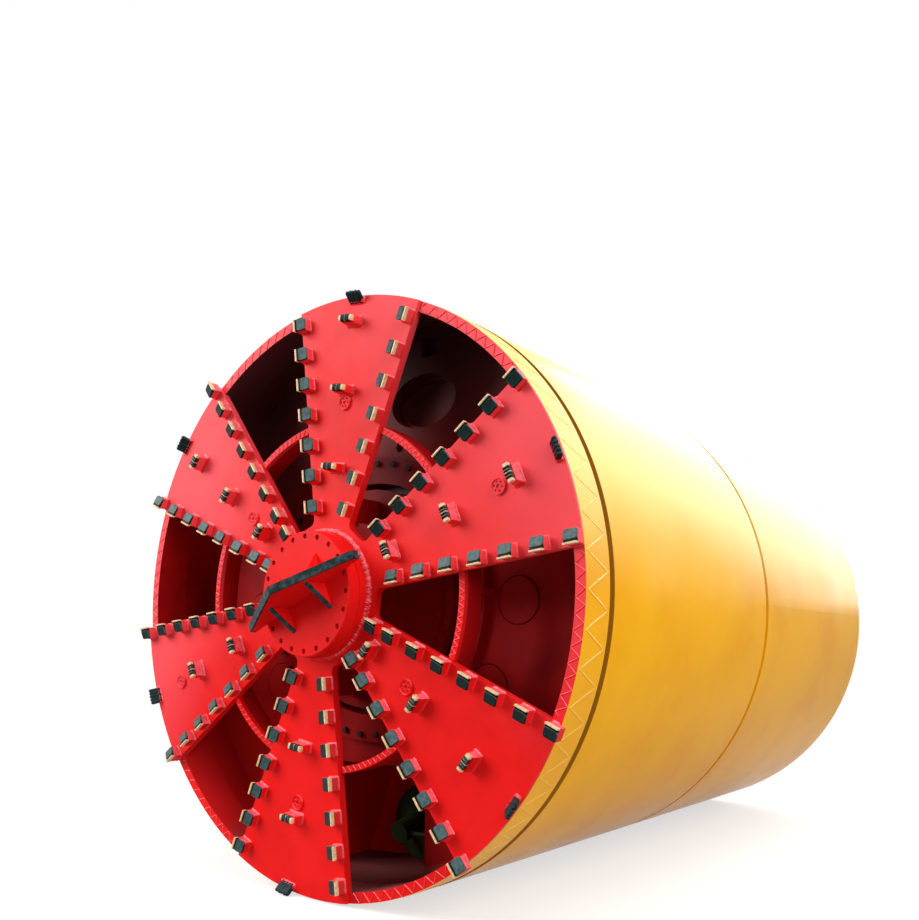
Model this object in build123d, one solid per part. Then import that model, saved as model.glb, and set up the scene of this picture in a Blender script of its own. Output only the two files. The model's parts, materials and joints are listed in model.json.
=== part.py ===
from build123d import *
from math import asin, atan, cos, degrees, hypot, radians, sin, sqrt, tan
import os

# A pipe-jacking tunnel boring machine: a spoked cutterhead on an articulated
# two-part shield, with its drive, screw conveyor and steering cylinders.
# Millimetres. While it is modelled, the machine's axis is Y through zero, the
# rim's front face is station 0 and stations count backwards along +Y.
# X is to the right seen from the front and Z is up. The finished machine is
# then set down so that its origin is the bottom centre of its box.

# ---- driving dimensions -------------------------------------------------
HULL_R = 1820.0  # outside radius of both shields
FIT = 0.2  # clearance between curved pieces that are welded or bolted
SLIDE = 0.3  # clearance between pieces that slide on each other
SPOKES = 6
HEAD_TURN = 8.77  # degrees clockwise, seen from the front, of the first spoke

# cutterhead weldment
RIM_INSET = 3.0  # the rim runs this far inside the hull's outside
RIM_WALL = 62.0
RIM_DEPTH = 240.0
PLATE_PROUD = 20.0  # the spoke plates stand this far ahead of the rim
PLATE_T = 50.0
SPOKE_HALF_AT_AXIS = 35.0  # half width of a spoke plate, were it to reach the axis
SPOKE_TAPER = 0.265  # growth of that half width for each millimetre of radius
OPENING_R = 440.0  # where the openings between the spokes start
OPENING_FILLET = 45.0
WEB_T = 30.0
WEB_AT = 50.0  # from a spoke's centre line to the middle of a web behind it
WEB_DEPTH = 120.0
RING_OUT = 159.0  # the ring between the spokes runs this far outside the drive's flange
RING_WALL = 40.0
RING_DEPTH = 150.0

# hub and centre cutter
HUB_BASE_R = 384.0
HUB_BASE_T = 71.0
HUB_STEP = 8.0  # from the base's edge in to the cover's
HUB_COVER_T = 80.0
HUB_BOLTS = 20
HUB_BOLT_INSET = 32.0  # from the cover's edge in to the bolts' circle
HUB_RECESS_R = 16.0  # bolt recesses in the cover
HUB_RECESS_DEPTH = 22.0
FISHTAIL_REACH = 489.0
FISHTAIL_RISE = 274.0
FISHTAIL_TIP = 46.0
FISHTAIL_T = 50.0
FISHTAIL_TURN = 57.0  # degrees clockwise from the first spoke
GUSSET_AT = 168.0
GUSSET_REACH = 180.0
GUSSET_RISE = 165.0
GUSSET_T = 28.0
FACING_T = 14.0  # hard facing on the cutter's edges
GUSSET_FACING_T = 10.0

# cutting tools: heights count from the spoke plate's face
SCRAPER_SIDE = 80.0
SCRAPER_HEEL = 57.0  # height on the spoke's side
SCRAPER_EDGE = 80.0  # height of the cutting edge, on the opening's side
HOLDER_INSET = 3.0
BLADE_T = 13.0
TIP_W = 11.0
TIP_T = 24.0
SCRAPER_PITCH = 189.0
SCRAPER_END = 60.0  # least distance of an outermost scraper's middle from the rim's outside
# columns: radius of the innermost regular scraper, radius of an extra one inside it
SCRAPER_ROWS = [(525.0, None), (595.0, None), (622.0, 476.0)]
RIPPER_LONG = 118.0
RIPPER_WIDE = 40.0
RIPPER_RISE = 62.0
RIPPER_TAPER = 5.0
RIPPER_TOOTH = 30.0
RIPPER_CORNER = 12.0
RIDGES = 4  # hard-faced ridges across each ripper's tooth
RIDGE_W = 10.0
RIDGE_PITCH = 18.0
RIDGE_RISE = 8.0
# radii of the ripper bits on each spoke, clockwise from the first
RIPPER_RADII = [
    (1661.0, 1245.0, 773.0),
    (1533.0, 1084.0, 621.0),
    (1470.0, 1007.0, 544.0),
    (1368.0, 932.0),
    (1279.0, 834.0),
    (1556.0, 1116.0, 679.0),
]
# radius of the foam nozzle on each spoke, clockwise from the first
NOZZLE_RADII = (1171.0, 1409.0, 872.0, 1279.0, 1508.0, 845.0)
NOZZLE_R = 46.0
NOZZLE_T = 14.0
NOZZLE_BORE = 12.0
GAUGE_PROUD = 21.0  # the gauge teeth cut this much further out than the rim
GAUGE_TOOTH = 38.0  # radial height of a gauge tooth
GAUGE_LONG = 118.0
GAUGE_RISE = 62.0  # how far the teeth and their holders stand ahead of the plate
GAUGE_DEPTH = 43.0  # length of a tooth along the machine's axis
GAUGE_HOLDER_LONG = 108.0
GAUGE_HOLDER_WALL = 50.0  # radial height of a holder

# drive
CHAMBER_DEPTH = 450.0  # station of the bulkhead's front face
BULKHEAD_T = 70.0
FLANGE_BAND = 854.0  # bulkhead between the flange and the shell
DRUM_STEP = 60.0  # from the drum's outside in to its front plate
DRUM_T = 60.0
DRUM_WALL = 240.0
DRUM_GAP = 45.0
DRUM_SEAT = 120.0  # how far the drum reaches into the bearing housing
FLANGE_WALL = 171.0
FLANGE_T = 55.0
STUDS = 40
STUD_INSET = 44.0  # from the flange's edge in to the studs' circle
STUD_R = 20.0
STUD_RISE = 24.0
LEG_LONG = 150.0
LEG_INSET = 95.0  # from the drum's front plate's edge in to the legs' middles
HOUSING_STEP = 56.0  # from the flange's edge in to the housing's
HOUSING_DEPTH = 380.0
HOUSING_BACK_T = 60.0
MOTORS = 6
MOTOR_INSET = 250.0  # from the housing's edge in to the motors' circle
GEARBOX_R = 140.0
GEARBOX_LONG = 380.0
GEARBOX_NOSE = 40.0  # its tapered end
MOTOR_R = 110.0
MOTOR_LONG = 300.0
BAR_R = 32.0
BAR_OUT = 334.0  # the turning bars stand this far outside the flange
BAR_LONG = 170.0
FIXED_BAR_R = 22.0
FIXED_BAR_OUT = 38.0  # the fixed bars stand this far outside the flange
FIXED_BAR_LONG = 145.0

# bulkhead fittings: X and Z of the direction in which a cover lies against the
# flange's edge, then its shift from there; each has a twin on the -X side
COVERS = [((1.0, 0.0), (63.0, -51.0)), ((0.8, -0.6), (54.8, 72.4))]
COVER_R = 138.0
COVER_T = 16.0
COVER_RISE = 6.0
COVER_GROOVE = 7.0
MANHOLE_X = 394.0
MANHOLE_OUT = 324.0  # its middle lies this much higher than the flange's top
MANHOLE_HALF_W = 262.0
MANHOLE_HALF_H = 172.0
DOOR_LAND = 42.0
DOOR_T = 30.0
DOOR_DISH = 90.0
DOOR_WALL = 22.0
HINGE_R = 16.0
KNUCKLE_R = 30.0
HINGE_OUT = 46.0
HINGE_LIFT = 4.0  # clearance of the knuckles behind the bulkhead
PIN_LONG = 200.0
KNUCKLE_AT = 70.0
KNUCKLE_W = 50.0
ARM_STEP = 8.0  # the hinge's arms are this much thinner than the door's land
HINGE_BLOCK_H = 80.0
HINGE_BLOCK_WALL = 12.0
POCKET_X = 450.0
POCKET_DOWN = 185.0  # its middle lies this far below the shell's inside
POCKET_SIDE = 130.0
POCKET_DEPTH = 45.0
PORT_X = 198.0
PORT_OUT = 52.0  # its middle lies this much higher than the flange's top
PORT_R = 30.0

# shield
HULL_T = 50.0
HEAD_GAP = 45.0  # between the turning rim and the front shield
NOSE_WALL = 15.0  # a sealing nose that bridges this gap from behind
NOSE_GAP = 6.0
PIVOT = 2430.0  # station of the articulation's pivot
SEAM_BACK = 141.0  # from there to the middle of the articulated seam
SEAM_GAP = 50.0
STEP_RING_T = 40.0
SPIGOT_T = 40.0
SPIGOT_FRONT = 110.0  # how far the spigot reaches ahead of the pivot
SPIGOT_RELIEF = 48.0  # the neck runs this far inside the shells
SPIGOT_TAPER = 20.0  # the band reaches this far behind the seal
SEAL_T = 35.0
SEAL_HALF = 60.0
ZONE_STEPS = 5  # straight steps in the ball-shaped faces
ZONE_TURN = 0.7  # half of one step's angle about the pivot, with room to spare
TAIL_END = 5101.0
TAIL_LONG = 568.0
TAIL_SOCKET = 340.0
TAIL_SKIN = 20.0  # wall round the pipe that the tail takes
PUSH_RING_T = 80.0
PUSH_RING_WALL = 170.0
STIFFENER_T = 60.0
STIFFENER_WALL = 110.0
STIFFENER_GAP = 20.0  # between the cylinders' lugs and the stiffener behind them
REAR_STIFFENER_BACK = 870.0  # from the pivot

# steering cylinders
CYLINDER_IN = 330.0  # from the shell's inside to their axes
CYLINDER_LONG = 870.0  # from pin to pin
BARREL_R = 95.0
BARREL_START = 90.0
BARREL_LONG = 600.0
BARREL_CAP = 60.0
CAP_PROUD = 14.0
BORE_R = 62.0
ROD_R = 58.0
ROD_INSIDE = 330.0
EYE_R = 78.0
EYE_W = 80.0
PIN_R = 40.0
PIN_PROUD = 10.0  # at each end
PIN_CLEARANCE = 2.0  # at the rods' eyes, which swing a little on their pins
LUG_T = 35.0
LUG_GAP = 10.0
LUG_HALF = 80.0

# screw conveyor
HOPPER_HALF = 420.0  # half width of the hollow below the drive that feeds the screw
HOPPER_DOWN = 144.0  # its roof lies this much lower than the flange's foot
HOPPER_LONG = 610.0
HOPPER_WALL = 30.0
# each lower rear corner is filled up to a plane: along the side wall it rises from
# the first station and height to the second height at the rear wall, where it falls
# to the last place, half a mouth's width from the middle
CORNER_START = 340.0  # behind the bulkhead
CORNER_FOOT_UP = 70.0  # above the shell's inside, at the bottom
CORNER_TOP_DOWN = 70.0  # below the hollow's roof
CORNER_INNER_X = 170.0
CORNER_INNER_UP = 20.0  # above the shell's inside, at the bottom
SCREW_TILT = 13.0
SCREW_UP = 185.0  # height above the shell of the screw's axis, where it would cross the bulkhead
CASING_R = 260.0
CASING_T = 24.0
CASING_SHORT = 331.0  # the casing ends ahead of the tail's socket, to leave its motor room
CASING_FLANGE = 40.0
CASING_FLANGE_T = 30.0
AUGER_CLEARANCE = 11.0
SHAFT_R = 72.0
FLIGHT_T = 22.0
FLIGHT_PITCH = 420.0
FLIGHT_TURNS = 1.5
FLIGHT_START = 270.0  # along the axis
CHUTE_AHEAD = 470.0
CHUTE_HALF = 190.0
CHUTE_WALL = 20.0
CHUTE_UP = 385.0  # its foot lies this much higher than the screw's axis at the bulkhead
GATE_T = 24.0
GATE_SLOT = 3.0  # clearance above the gate; it runs on the slot's floor
GATE_TRAVEL = 380.0
RAIL = 40.0
OUTLET_FLANGE_T = 30.0
OUTLET_BOLTS = 8
OUTLET_CIRCLE_R = 305.0
OUTLET_BOLT_R = 13.0
SCREW_MOTOR_R = 170.0
SCREW_MOTOR_LONG = 330.0
SCREW_MOTOR_RING = 40.0

BIG = 2.0 * TAIL_END
HULL_IN_R = HULL_R - HULL_T
PIPE_R = HULL_R - TAIL_SKIN
NOSE_R = HULL_IN_R + NOSE_WALL
RIM_R = HULL_R - RIM_INSET
RIM_IN_R = RIM_R - RIM_WALL
HUB_COVER_R = HUB_BASE_R - HUB_STEP
HUB_CIRCLE_R = HUB_COVER_R - HUB_BOLT_INSET
GAUGE_R = RIM_R + GAUGE_PROUD
GAUGE_FOOT_R = GAUGE_R - GAUGE_TOOTH
GAUGE_FRONT = -PLATE_PROUD - GAUGE_RISE
FLANGE_R = HULL_IN_R - FLANGE_BAND
RING_OUT_R = FLANGE_R + RING_OUT
DRUM_R = FLANGE_R - FLANGE_WALL - DRUM_GAP
DRUM_STEP_R = DRUM_R - DRUM_STEP
HOUSING_R = FLANGE_R - HOUSING_STEP
MANHOLE_AT = (MANHOLE_X, FLANGE_R + MANHOLE_OUT)
SEAM = PIVOT + SEAM_BACK
TAIL_SEAM = TAIL_END - TAIL_LONG
CYLINDER_R = HULL_IN_R - CYLINDER_IN
CYLINDER_BASE = PIVOT - CYLINDER_LONG
LUG_FOOT = 1.5 * LUG_HALF
FRONT_SHIELD = RIM_DEPTH + HEAD_GAP
FRONT_END = SEAM - SEAM_GAP / 2
REAR_START = SEAM + SEAM_GAP / 2
SPIGOT_R = HULL_IN_R - SEAL_T - SLIDE
SPIGOT_IN_R = SPIGOT_R - SPIGOT_T
BULKHEAD_REAR = CHAMBER_DEPTH + BULKHEAD_T
HUB_FACE = -PLATE_PROUD - HUB_BASE_T - HUB_COVER_T
PLATE_BACK = PLATE_T - PLATE_PROUD
DRUM_END = BULKHEAD_REAR + DRUM_SEAT
HOPPER_TOP = -FLANGE_R - HOPPER_DOWN
HOPPER_REAR = BULKHEAD_REAR + HOPPER_LONG
SCREW_Z = SCREW_UP - HULL_IN_R
CASING_END = TAIL_END - TAIL_SOCKET - CASING_SHORT - CHAMBER_DEPTH
CHUTE_AT = CHAMBER_DEPTH + CASING_END - CHUTE_AHEAD
CHUTE_FOOT = SCREW_Z + CHUTE_UP
SCREW_LIE = Location((0, CHAMBER_DEPTH, SCREW_Z), (SCREW_TILT - 90, 0, 0))
HINGE_X = MANHOLE_AT[0] + MANHOLE_HALF_W + DOOR_LAND + HINGE_OUT
HINGE_Y = BULKHEAD_REAR + KNUCKLE_R + HINGE_LIFT


# ---- helpers ------------------------------------------------------------
def slab(sketch, front, rear):
    """A sketch of the machine seen from the front, solid from station front to rear."""
    return extrude(Plane.XZ.offset(-rear) * sketch, rear - front)


def tube(outer, inner, front, rear):
    """A round wall about the machine's axis."""
    return slab(Circle(outer) - Circle(inner), front, rear)


def clockwise(angle):
    """A turn about the machine's axis, clockwise seen from the front."""
    return Rot(0, 0, -angle)


def on_spoke(spoke, radius, side=0.0, turn=0.0):
    """A place on the face: along a spoke's centre line and to its clockwise side."""
    place = clockwise(HEAD_TURN + spoke * 360 / SPOKES)
    return place * Pos(side, radius) * Rot(0, 0, turn)


def spoke_half(radius):
    return SPOKE_HALF_AT_AXIS + SPOKE_TAPER * radius


def solids_of(pieces):
    """Several solids that don't touch, kept together as one node."""
    return Compound(children=[s for piece in pieces for s in piece.solids()])


def at_clock(angle, piece):
    """Turns a finished piece about the machine's axis, clockwise seen from the front."""
    return piece.rotate(Axis.Y, angle)


# ---- cutterhead ---------------------------------------------------------
def opening(reach):
    """The gap between two spokes: their edges, a flat inner end with round corners."""
    tilt = radians(180 / SPOKES)
    # on the gap's middle line an edge lies this far to the side, at distance r
    side = lambda r: (r * sin(tilt) - spoke_half(r * cos(tilt))) / (
        cos(tilt) + SPOKE_TAPER * sin(tilt)
    )
    inner, outer = side(OPENING_R), side(reach)
    corners = [(-inner, OPENING_R), (inner, OPENING_R), (outer, reach), (-outer, reach)]
    wedge = make_face(Polyline(*corners, close=True))
    return fillet(wedge.vertices().sort_by(Axis.Y)[:2], OPENING_FILLET)


def head_frame():
    """The six wedge plates with the hub's plate, and two webs behind each."""
    face = Circle(RIM_R)
    webs = []
    for spoke in range(SPOKES):
        gap = clockwise(HEAD_TURN + (spoke + 0.5) * 360 / SPOKES) * opening(1.3 * RIM_R)
        face -= gap
        for side in (-1, 1):
            middle = (OPENING_R + RIM_IN_R) / 2
            web = on_spoke(spoke, middle, side * WEB_AT) * Rectangle(WEB_T, RIM_IN_R - OPENING_R)
            web &= Circle(RIM_IN_R - FIT)
            webs.append(slab(web, PLATE_BACK, PLATE_BACK + WEB_DEPTH))
    plate = slab(face, -PLATE_PROUD, PLATE_BACK)
    plate -= tube(RIM_R + FIT, RIM_IN_R, 0, PLATE_BACK + WEB_T)
    ring_seat = tube(RING_OUT_R, RING_OUT_R - RING_WALL, 0, RING_DEPTH)
    return plate + webs - ring_seat


def head_rim():
    return tube(RIM_R, RIM_IN_R, 0, RIM_DEPTH)


def head_ring():
    return tube(RING_OUT_R, RING_OUT_R - RING_WALL, 0, RING_DEPTH)


def hub_base():
    return tube(HUB_BASE_R, HUB_BASE_R / 3, HUB_FACE + HUB_COVER_T, -PLATE_PROUD)


def hub_cover():
    """The bolted cover, with its bolts' recesses midway about the spokes' lines."""
    cover = slab(Circle(HUB_COVER_R), HUB_FACE, HUB_FACE + HUB_COVER_T)
    cover = chamfer(cover.faces().sort_by(Axis.Y)[0].edges(), 4)
    for n in range(HUB_BOLTS):
        turn = HEAD_TURN + (n + 0.5) * 360 / HUB_BOLTS
        recess = clockwise(turn) * Pos(0, HUB_CIRCLE_R) * Circle(HUB_RECESS_R)
        cover -= slab(recess, HUB_FACE, HUB_FACE + HUB_RECESS_DEPTH)
    return cover


def roof(reach, rise, tip=0.0):
    """The side view of a plate that slopes down both ways from its peak."""
    corners = [(-reach, 0), (reach, 0), (0, rise)]
    if tip:
        corners[2:] = [(reach, tip), (0, rise), (-reach, tip)]
    return make_face(Polyline(*corners, close=True))


def cutter_views(trim, cross_trim):
    """Side views of the blade and of its gussets, each trimmed for the hard facing."""
    slope = (FISHTAIL_RISE - FISHTAIL_TIP) / FISHTAIL_REACH
    drop = trim * hypot(1, slope)
    blade = roof(FISHTAIL_REACH - trim, FISHTAIL_RISE - drop, FISHTAIL_TIP - drop + trim * slope)
    fall = cross_trim * hypot(1, GUSSET_REACH / GUSSET_RISE)
    cross = roof(GUSSET_REACH - fall, GUSSET_RISE * (1 - fall / GUSSET_REACH))
    return blade, cross


def stand_on_hub(blade, cross):
    """Thickens both views and stands them on the hub at the cutter's clock angle."""
    along = extrude(Plane.XZ * blade, FISHTAIL_T / 2, both=True)
    across = extrude(Plane.YZ * cross, GUSSET_T / 2, both=True)
    pieces = along + [across.moved(Location((x, 0, 0))) for x in (-GUSSET_AT, GUSSET_AT)]
    forwards = Location((0, HUB_FACE, 0), (90, 0, 0))
    return at_clock(HEAD_TURN + FISHTAIL_TURN - 90, pieces.moved(forwards))


def centre_cutter():
    """A two-sided sloping plate across the hub, with two crossed gussets."""
    return stand_on_hub(*cutter_views(FACING_T, GUSSET_FACING_T))


def cutter_facing():
    """The hard facing along the sloping edges of the plate and its gussets."""
    blade, cross = cutter_views(0.0, 0.0)
    inner_blade, inner_cross = cutter_views(FACING_T, GUSSET_FACING_T)
    facing = stand_on_hub(blade - inner_blade, cross - inner_cross)
    return facing - centre_cutter()


def scraper_places():
    """Each scraper's spoke, radius and side; opposite spokes share a row."""
    places = []
    for spoke in range(SPOKES):
        first, extra = SCRAPER_ROWS[spoke % len(SCRAPER_ROWS)]
        scrapers = 1 + int((RIM_R - SCRAPER_END - first) / SCRAPER_PITCH)
        radii = [first + SCRAPER_PITCH * n for n in range(scrapers)]
        if extra is not None:
            radii.insert(0, extra)
        places += [(spoke, radius, side) for radius in radii for side in (-1, 1)]
    return places


def scraper_height(across):
    """Height of the blade's face, which rises evenly from heel to cutting edge."""
    return SCRAPER_HEEL + (SCRAPER_EDGE - SCRAPER_HEEL) * (across / SCRAPER_SIDE + 0.5)


def along_edges(outline, long):
    """A bar of one outline at every scraper, in line with its spoke's edge."""
    lean = degrees(atan(SPOKE_TAPER))
    bars = {}
    for side in (-1, 1):
        view = make_face(Polyline(*[(side * x, z) for x, z in outline], close=True))
        bars[side] = extrude(Plane.XZ * view, long / 2, both=True)
    face = Plane.XZ.offset(PLATE_PROUD).location
    pieces = []
    for spoke, radius, side in scraper_places():
        across = side * (spoke_half(radius) - SCRAPER_SIDE / 2)
        pieces.append(face * on_spoke(spoke, radius, across, -side * lean) * bars[side])
    return solids_of(pieces)


HEEL, EDGE = -SCRAPER_SIDE / 2, SCRAPER_SIDE / 2
TIP_START = EDGE - TIP_W
TIP_FOOT = SCRAPER_EDGE - TIP_T


def scraper_holders():
    """Blocks with a sloping seat for the blade and a shelf for the tip."""
    heel, edge = HEEL + HOLDER_INSET, EDGE - HOLDER_INSET
    outline = [
        (heel, 0), (edge, 0), (edge, TIP_FOOT), (TIP_START, TIP_FOOT),
        (TIP_START, scraper_height(TIP_START) - BLADE_T), (heel, scraper_height(heel) - BLADE_T),
    ]
    return along_edges(outline, SCRAPER_SIDE - 2 * HOLDER_INSET)


def scraper_blades():
    """The hard-faced plates, up to the tip strips."""
    low, high = scraper_height(HEEL), scraper_height(TIP_START)
    outline = [(HEEL, low - BLADE_T), (TIP_START, high - BLADE_T), (TIP_START, high), (HEEL, low)]
    return along_edges(outline, SCRAPER_SIDE)


def scraper_tips():
    """The carbide strips at the cutting edges."""
    outline = [(TIP_START, TIP_FOOT), (EDGE, TIP_FOOT), (EDGE, SCRAPER_EDGE), (TIP_START, SCRAPER_EDGE)]
    return along_edges(outline, SCRAPER_SIDE)


def at_rippers(piece):
    """One piece at every ripper bit that clears the gauge holders, on the spoke's face."""
    face = Plane.XZ.offset(PLATE_PROUD).location
    return solids_of([
        face * on_spoke(spoke, radius) * piece
        for spoke, radii in enumerate(RIPPER_RADII) for radius in radii
        if radius + RIPPER_WIDE < GAUGE_FOOT_R - GAUGE_HOLDER_WALL
    ])


def ripper_holders():
    foot = Rectangle(RIPPER_LONG - 10, RIPPER_WIDE + 12)
    return at_rippers(extrude(foot, RIPPER_RISE, taper=RIPPER_TAPER))


def ripper_teeth():
    """Carbide bits with cut corners."""
    bit = chamfer(Rectangle(RIPPER_LONG, RIPPER_WIDE).vertices(), RIPPER_CORNER)
    return at_rippers(Pos(0, 0, RIPPER_RISE) * extrude(bit, RIPPER_TOOTH))


def ripper_facings():
    """The hard-faced ridges across each bit's middle, on one thin bed."""
    base = RIPPER_RISE + RIPPER_TOOTH
    bed = Pos(0, 0, base + 1.5) * Box(RIDGES * RIDGE_PITCH, RIPPER_WIDE, 3)
    ridges = [
        Pos((n - (RIDGES - 1) / 2) * RIDGE_PITCH, 0, base + RIDGE_RISE / 2)
        * Box(RIDGE_W, RIPPER_WIDE, RIDGE_RISE)
        for n in range(RIDGES)
    ]
    return at_rippers(bed + ridges)


def gauge_block(low, high, long, front, rear):
    """A block at the outer end of each spoke, curved about the machine's axis."""
    sector = (Circle(high) - Circle(low)) & Pos(0, high) * Rectangle(long, high)
    return solids_of([
        slab(clockwise(HEAD_TURN + spoke * 360 / SPOKES) * sector, front, rear)
        for spoke in range(SPOKES)
    ])


def gauge_holders():
    low = GAUGE_FOOT_R - GAUGE_HOLDER_WALL
    return gauge_block(low, GAUGE_FOOT_R, GAUGE_HOLDER_LONG, GAUGE_FRONT, -PLATE_PROUD)


def gauge_teeth():
    rear = GAUGE_FRONT + GAUGE_DEPTH
    return gauge_block(GAUGE_FOOT_R + FIT, GAUGE_R, GAUGE_LONG, GAUGE_FRONT, rear)


def foam_nozzles():
    disc = Circle(NOZZLE_R) - Circle(NOZZLE_BORE)
    return solids_of([
        slab(on_spoke(spoke, radius) * disc, -PLATE_PROUD - NOZZLE_T, -PLATE_PROUD)
        for spoke, radius in enumerate(NOZZLE_RADII)
    ])


def drive_drum():
    """The turning drum: a stepped front plate on a shaft wall through the bulkhead."""
    front = CHAMBER_DEPTH - FLANGE_T - DRUM_T
    bore = DRUM_STEP_R - DRUM_WALL
    profile = Polyline(
        (0, front), (DRUM_STEP_R, front),
        (DRUM_STEP_R, front + DRUM_T / 2), (DRUM_R, front + DRUM_T / 2),
        (DRUM_R, DRUM_END), (bore, DRUM_END), (bore, front + DRUM_T), (0, front + DRUM_T),
        close=True,
    )
    return revolve(make_face(profile), Axis.Y)


def drive_legs():
    """Legs that carry the spokes from the drum, each between its spoke's two webs."""
    leg = Rectangle(2 * WEB_AT - WEB_T, LEG_LONG)
    front, rear = PLATE_BACK, CHAMBER_DEPTH - FLANGE_T - DRUM_T
    return solids_of([
        slab(on_spoke(spoke, DRUM_STEP_R - LEG_INSET) * leg, front, rear) for spoke in range(SPOKES)
    ])


def mixing_bars():
    """Bars behind every second spoke, which stir the chamber."""
    bars = []
    for spoke in range(0, SPOKES, 2):
        place = on_spoke(spoke, FLANGE_R + BAR_OUT)
        post = slab(place * Circle(BAR_R), PLATE_BACK, PLATE_BACK + WEB_DEPTH + BAR_LONG)
        bars.append(chamfer(post.faces().sort_by(Axis.Y)[-1].edges(), BAR_R / 3))
    return solids_of(bars)


# ---- drive and bulkhead -------------------------------------------------
def hopper_box(grow, front, rear):
    """The hollow that feeds the screw, down to the hull; grow adds its walls."""
    high = HOPPER_TOP + grow
    view = Pos(0, (high - HULL_R) / 2) * Rectangle(2 * (HOPPER_HALF + grow), high + HULL_R)
    return slab(view & Circle(HULL_IN_R - FIT), front, rear)


def hopper_corner(side):
    """The filling of a lower rear corner, whose sloping face leads to the screw."""
    foot = Vector(side * HOPPER_HALF, BULKHEAD_REAR + CORNER_START, CORNER_FOOT_UP - HULL_IN_R)
    top = Vector(side * HOPPER_HALF, HOPPER_REAR, HOPPER_TOP - CORNER_TOP_DOWN)
    inner = Vector(side * CORNER_INNER_X, HOPPER_REAR, CORNER_INNER_UP - HULL_IN_R)
    across = inner - foot
    outwards = across.cross(top - foot) * side
    half_space = Plane(origin=foot, x_dir=across, z_dir=outwards) * Pos(0, 0, BIG / 2) * Box(BIG, BIG, BIG)
    return hopper_box(0.0, BULKHEAD_REAR, HOPPER_REAR) & half_space


def screw_hopper():
    """Side walls, roof and rear wall of the hollow behind the bulkhead."""
    walls = hopper_box(HOPPER_WALL, BULKHEAD_REAR, HOPPER_REAR + HOPPER_WALL)
    walls -= hopper_box(0.0, BULKHEAD_REAR, HOPPER_REAR)
    return walls + hopper_corner(-1) + hopper_corner(1) - screw_line(CASING_R + FIT)


def oval(grow=0.0):
    return Pos(*MANHOLE_AT) * Ellipse(MANHOLE_HALF_W + grow, MANHOLE_HALF_H + grow)


def screw_line(radius, start=-BIG, end=BIG):
    """A cylinder on the screw's axis; lengths count from the bulkhead's front."""
    rod = Pos(0, 0, (start + end) / 2) * Cylinder(radius, end - start)
    return SCREW_LIE * rod


def cover_places():
    """X and Z of the covers' middles, on both sides of the machine."""
    reach = FLANGE_R + COVER_R
    places = [(x * reach + shift_x, z * reach + shift_z) for (x, z), (shift_x, shift_z) in COVERS]
    return places + [(-x, z) for x, z in places]


def bulkhead():
    wall = slab(Circle(HULL_IN_R - FIT), CHAMBER_DEPTH, BULKHEAD_REAR)
    wall -= slab(Circle(DRUM_R + DRUM_GAP), CHAMBER_DEPTH, BULKHEAD_REAR)
    wall -= slab(oval(), CHAMBER_DEPTH, BULKHEAD_REAR)
    wall -= hopper_box(0.0, CHAMBER_DEPTH, BULKHEAD_REAR)
    pocket = Pos(POCKET_X, HULL_IN_R - POCKET_DOWN) * Rectangle(POCKET_SIDE, POCKET_SIDE)
    wall -= slab(pocket, CHAMBER_DEPTH, CHAMBER_DEPTH + POCKET_DEPTH)
    port = Pos(PORT_X, FLANGE_R + PORT_OUT) * Circle(PORT_R)
    wall -= slab(port, CHAMBER_DEPTH, CHAMBER_DEPTH + POCKET_DEPTH)
    for x, z in cover_places():
        recess = Pos(x, z) * Circle(COVER_R + COVER_GROOVE)
        wall -= slab(recess, CHAMBER_DEPTH, CHAMBER_DEPTH + COVER_T)
    return wall


def bulkhead_covers():
    """Round covers let into grooved recesses of the bulkhead, standing slightly proud."""
    covers = []
    for x, z in cover_places():
        disc = slab(Pos(x, z) * Circle(COVER_R), CHAMBER_DEPTH - COVER_RISE, CHAMBER_DEPTH + COVER_T)
        covers.append(chamfer(disc.faces().sort_by(Axis.Y)[0].edges(), COVER_RISE / 2))
    return solids_of(covers)


def drive_flange():
    """The fixed seal flange round the drum, with its ring of studs."""
    ring = tube(FLANGE_R, DRUM_R + DRUM_GAP, CHAMBER_DEPTH - FLANGE_T, CHAMBER_DEPTH)
    stud = RegularPolygon(STUD_R, 6)
    studs = [
        slab(clockwise((n + 0.5) * 360 / STUDS) * Pos(0, FLANGE_R - STUD_INSET) * stud,
             CHAMBER_DEPTH - FLANGE_T - STUD_RISE, CHAMBER_DEPTH - FLANGE_T)
        for n in range(STUDS)
    ]
    return ring + studs


def drive_housing():
    """The bearing and gear housing behind the bulkhead, which carries the drum."""
    rear = BULKHEAD_REAR + HOUSING_DEPTH
    bearing = tube(HOUSING_R, DRUM_R + SLIDE, BULKHEAD_REAR, DRUM_END + SLIDE)
    shell = tube(HOUSING_R, DRUM_R - DRUM_GAP, DRUM_END + SLIDE, rear)
    return bearing + shell + tube(HOUSING_R, DRUM_STEP_R - DRUM_WALL, rear - HOUSING_BACK_T, rear)


def drive_motors():
    """Gearboxes with their motors, in a ring on the back of the housing."""
    start = BULKHEAD_REAR + HOUSING_DEPTH
    profile = Polyline(
        (0, start), (GEARBOX_R, start), (GEARBOX_R, start + GEARBOX_LONG - GEARBOX_NOSE),
        (MOTOR_R, start + GEARBOX_LONG), (MOTOR_R, start + GEARBOX_LONG + MOTOR_LONG),
        (0, start + GEARBOX_LONG + MOTOR_LONG), close=True,
    )
    motor = revolve(make_face(profile), Axis.Y)
    return solids_of([
        at_clock((n + 0.5) * 360 / MOTORS, motor.moved(Location((0, 0, HOUSING_R - MOTOR_INSET))))
        for n in range(MOTORS)
    ])


def fixed_mixing_bars():
    bars = []
    for side in (-1, 1):
        bar = Pos(side * (FLANGE_R + FIXED_BAR_OUT), 0) * Circle(FIXED_BAR_R)
        bars.append(slab(bar, CHAMBER_DEPTH - FIXED_BAR_LONG, CHAMBER_DEPTH))
    return solids_of(bars)


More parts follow.
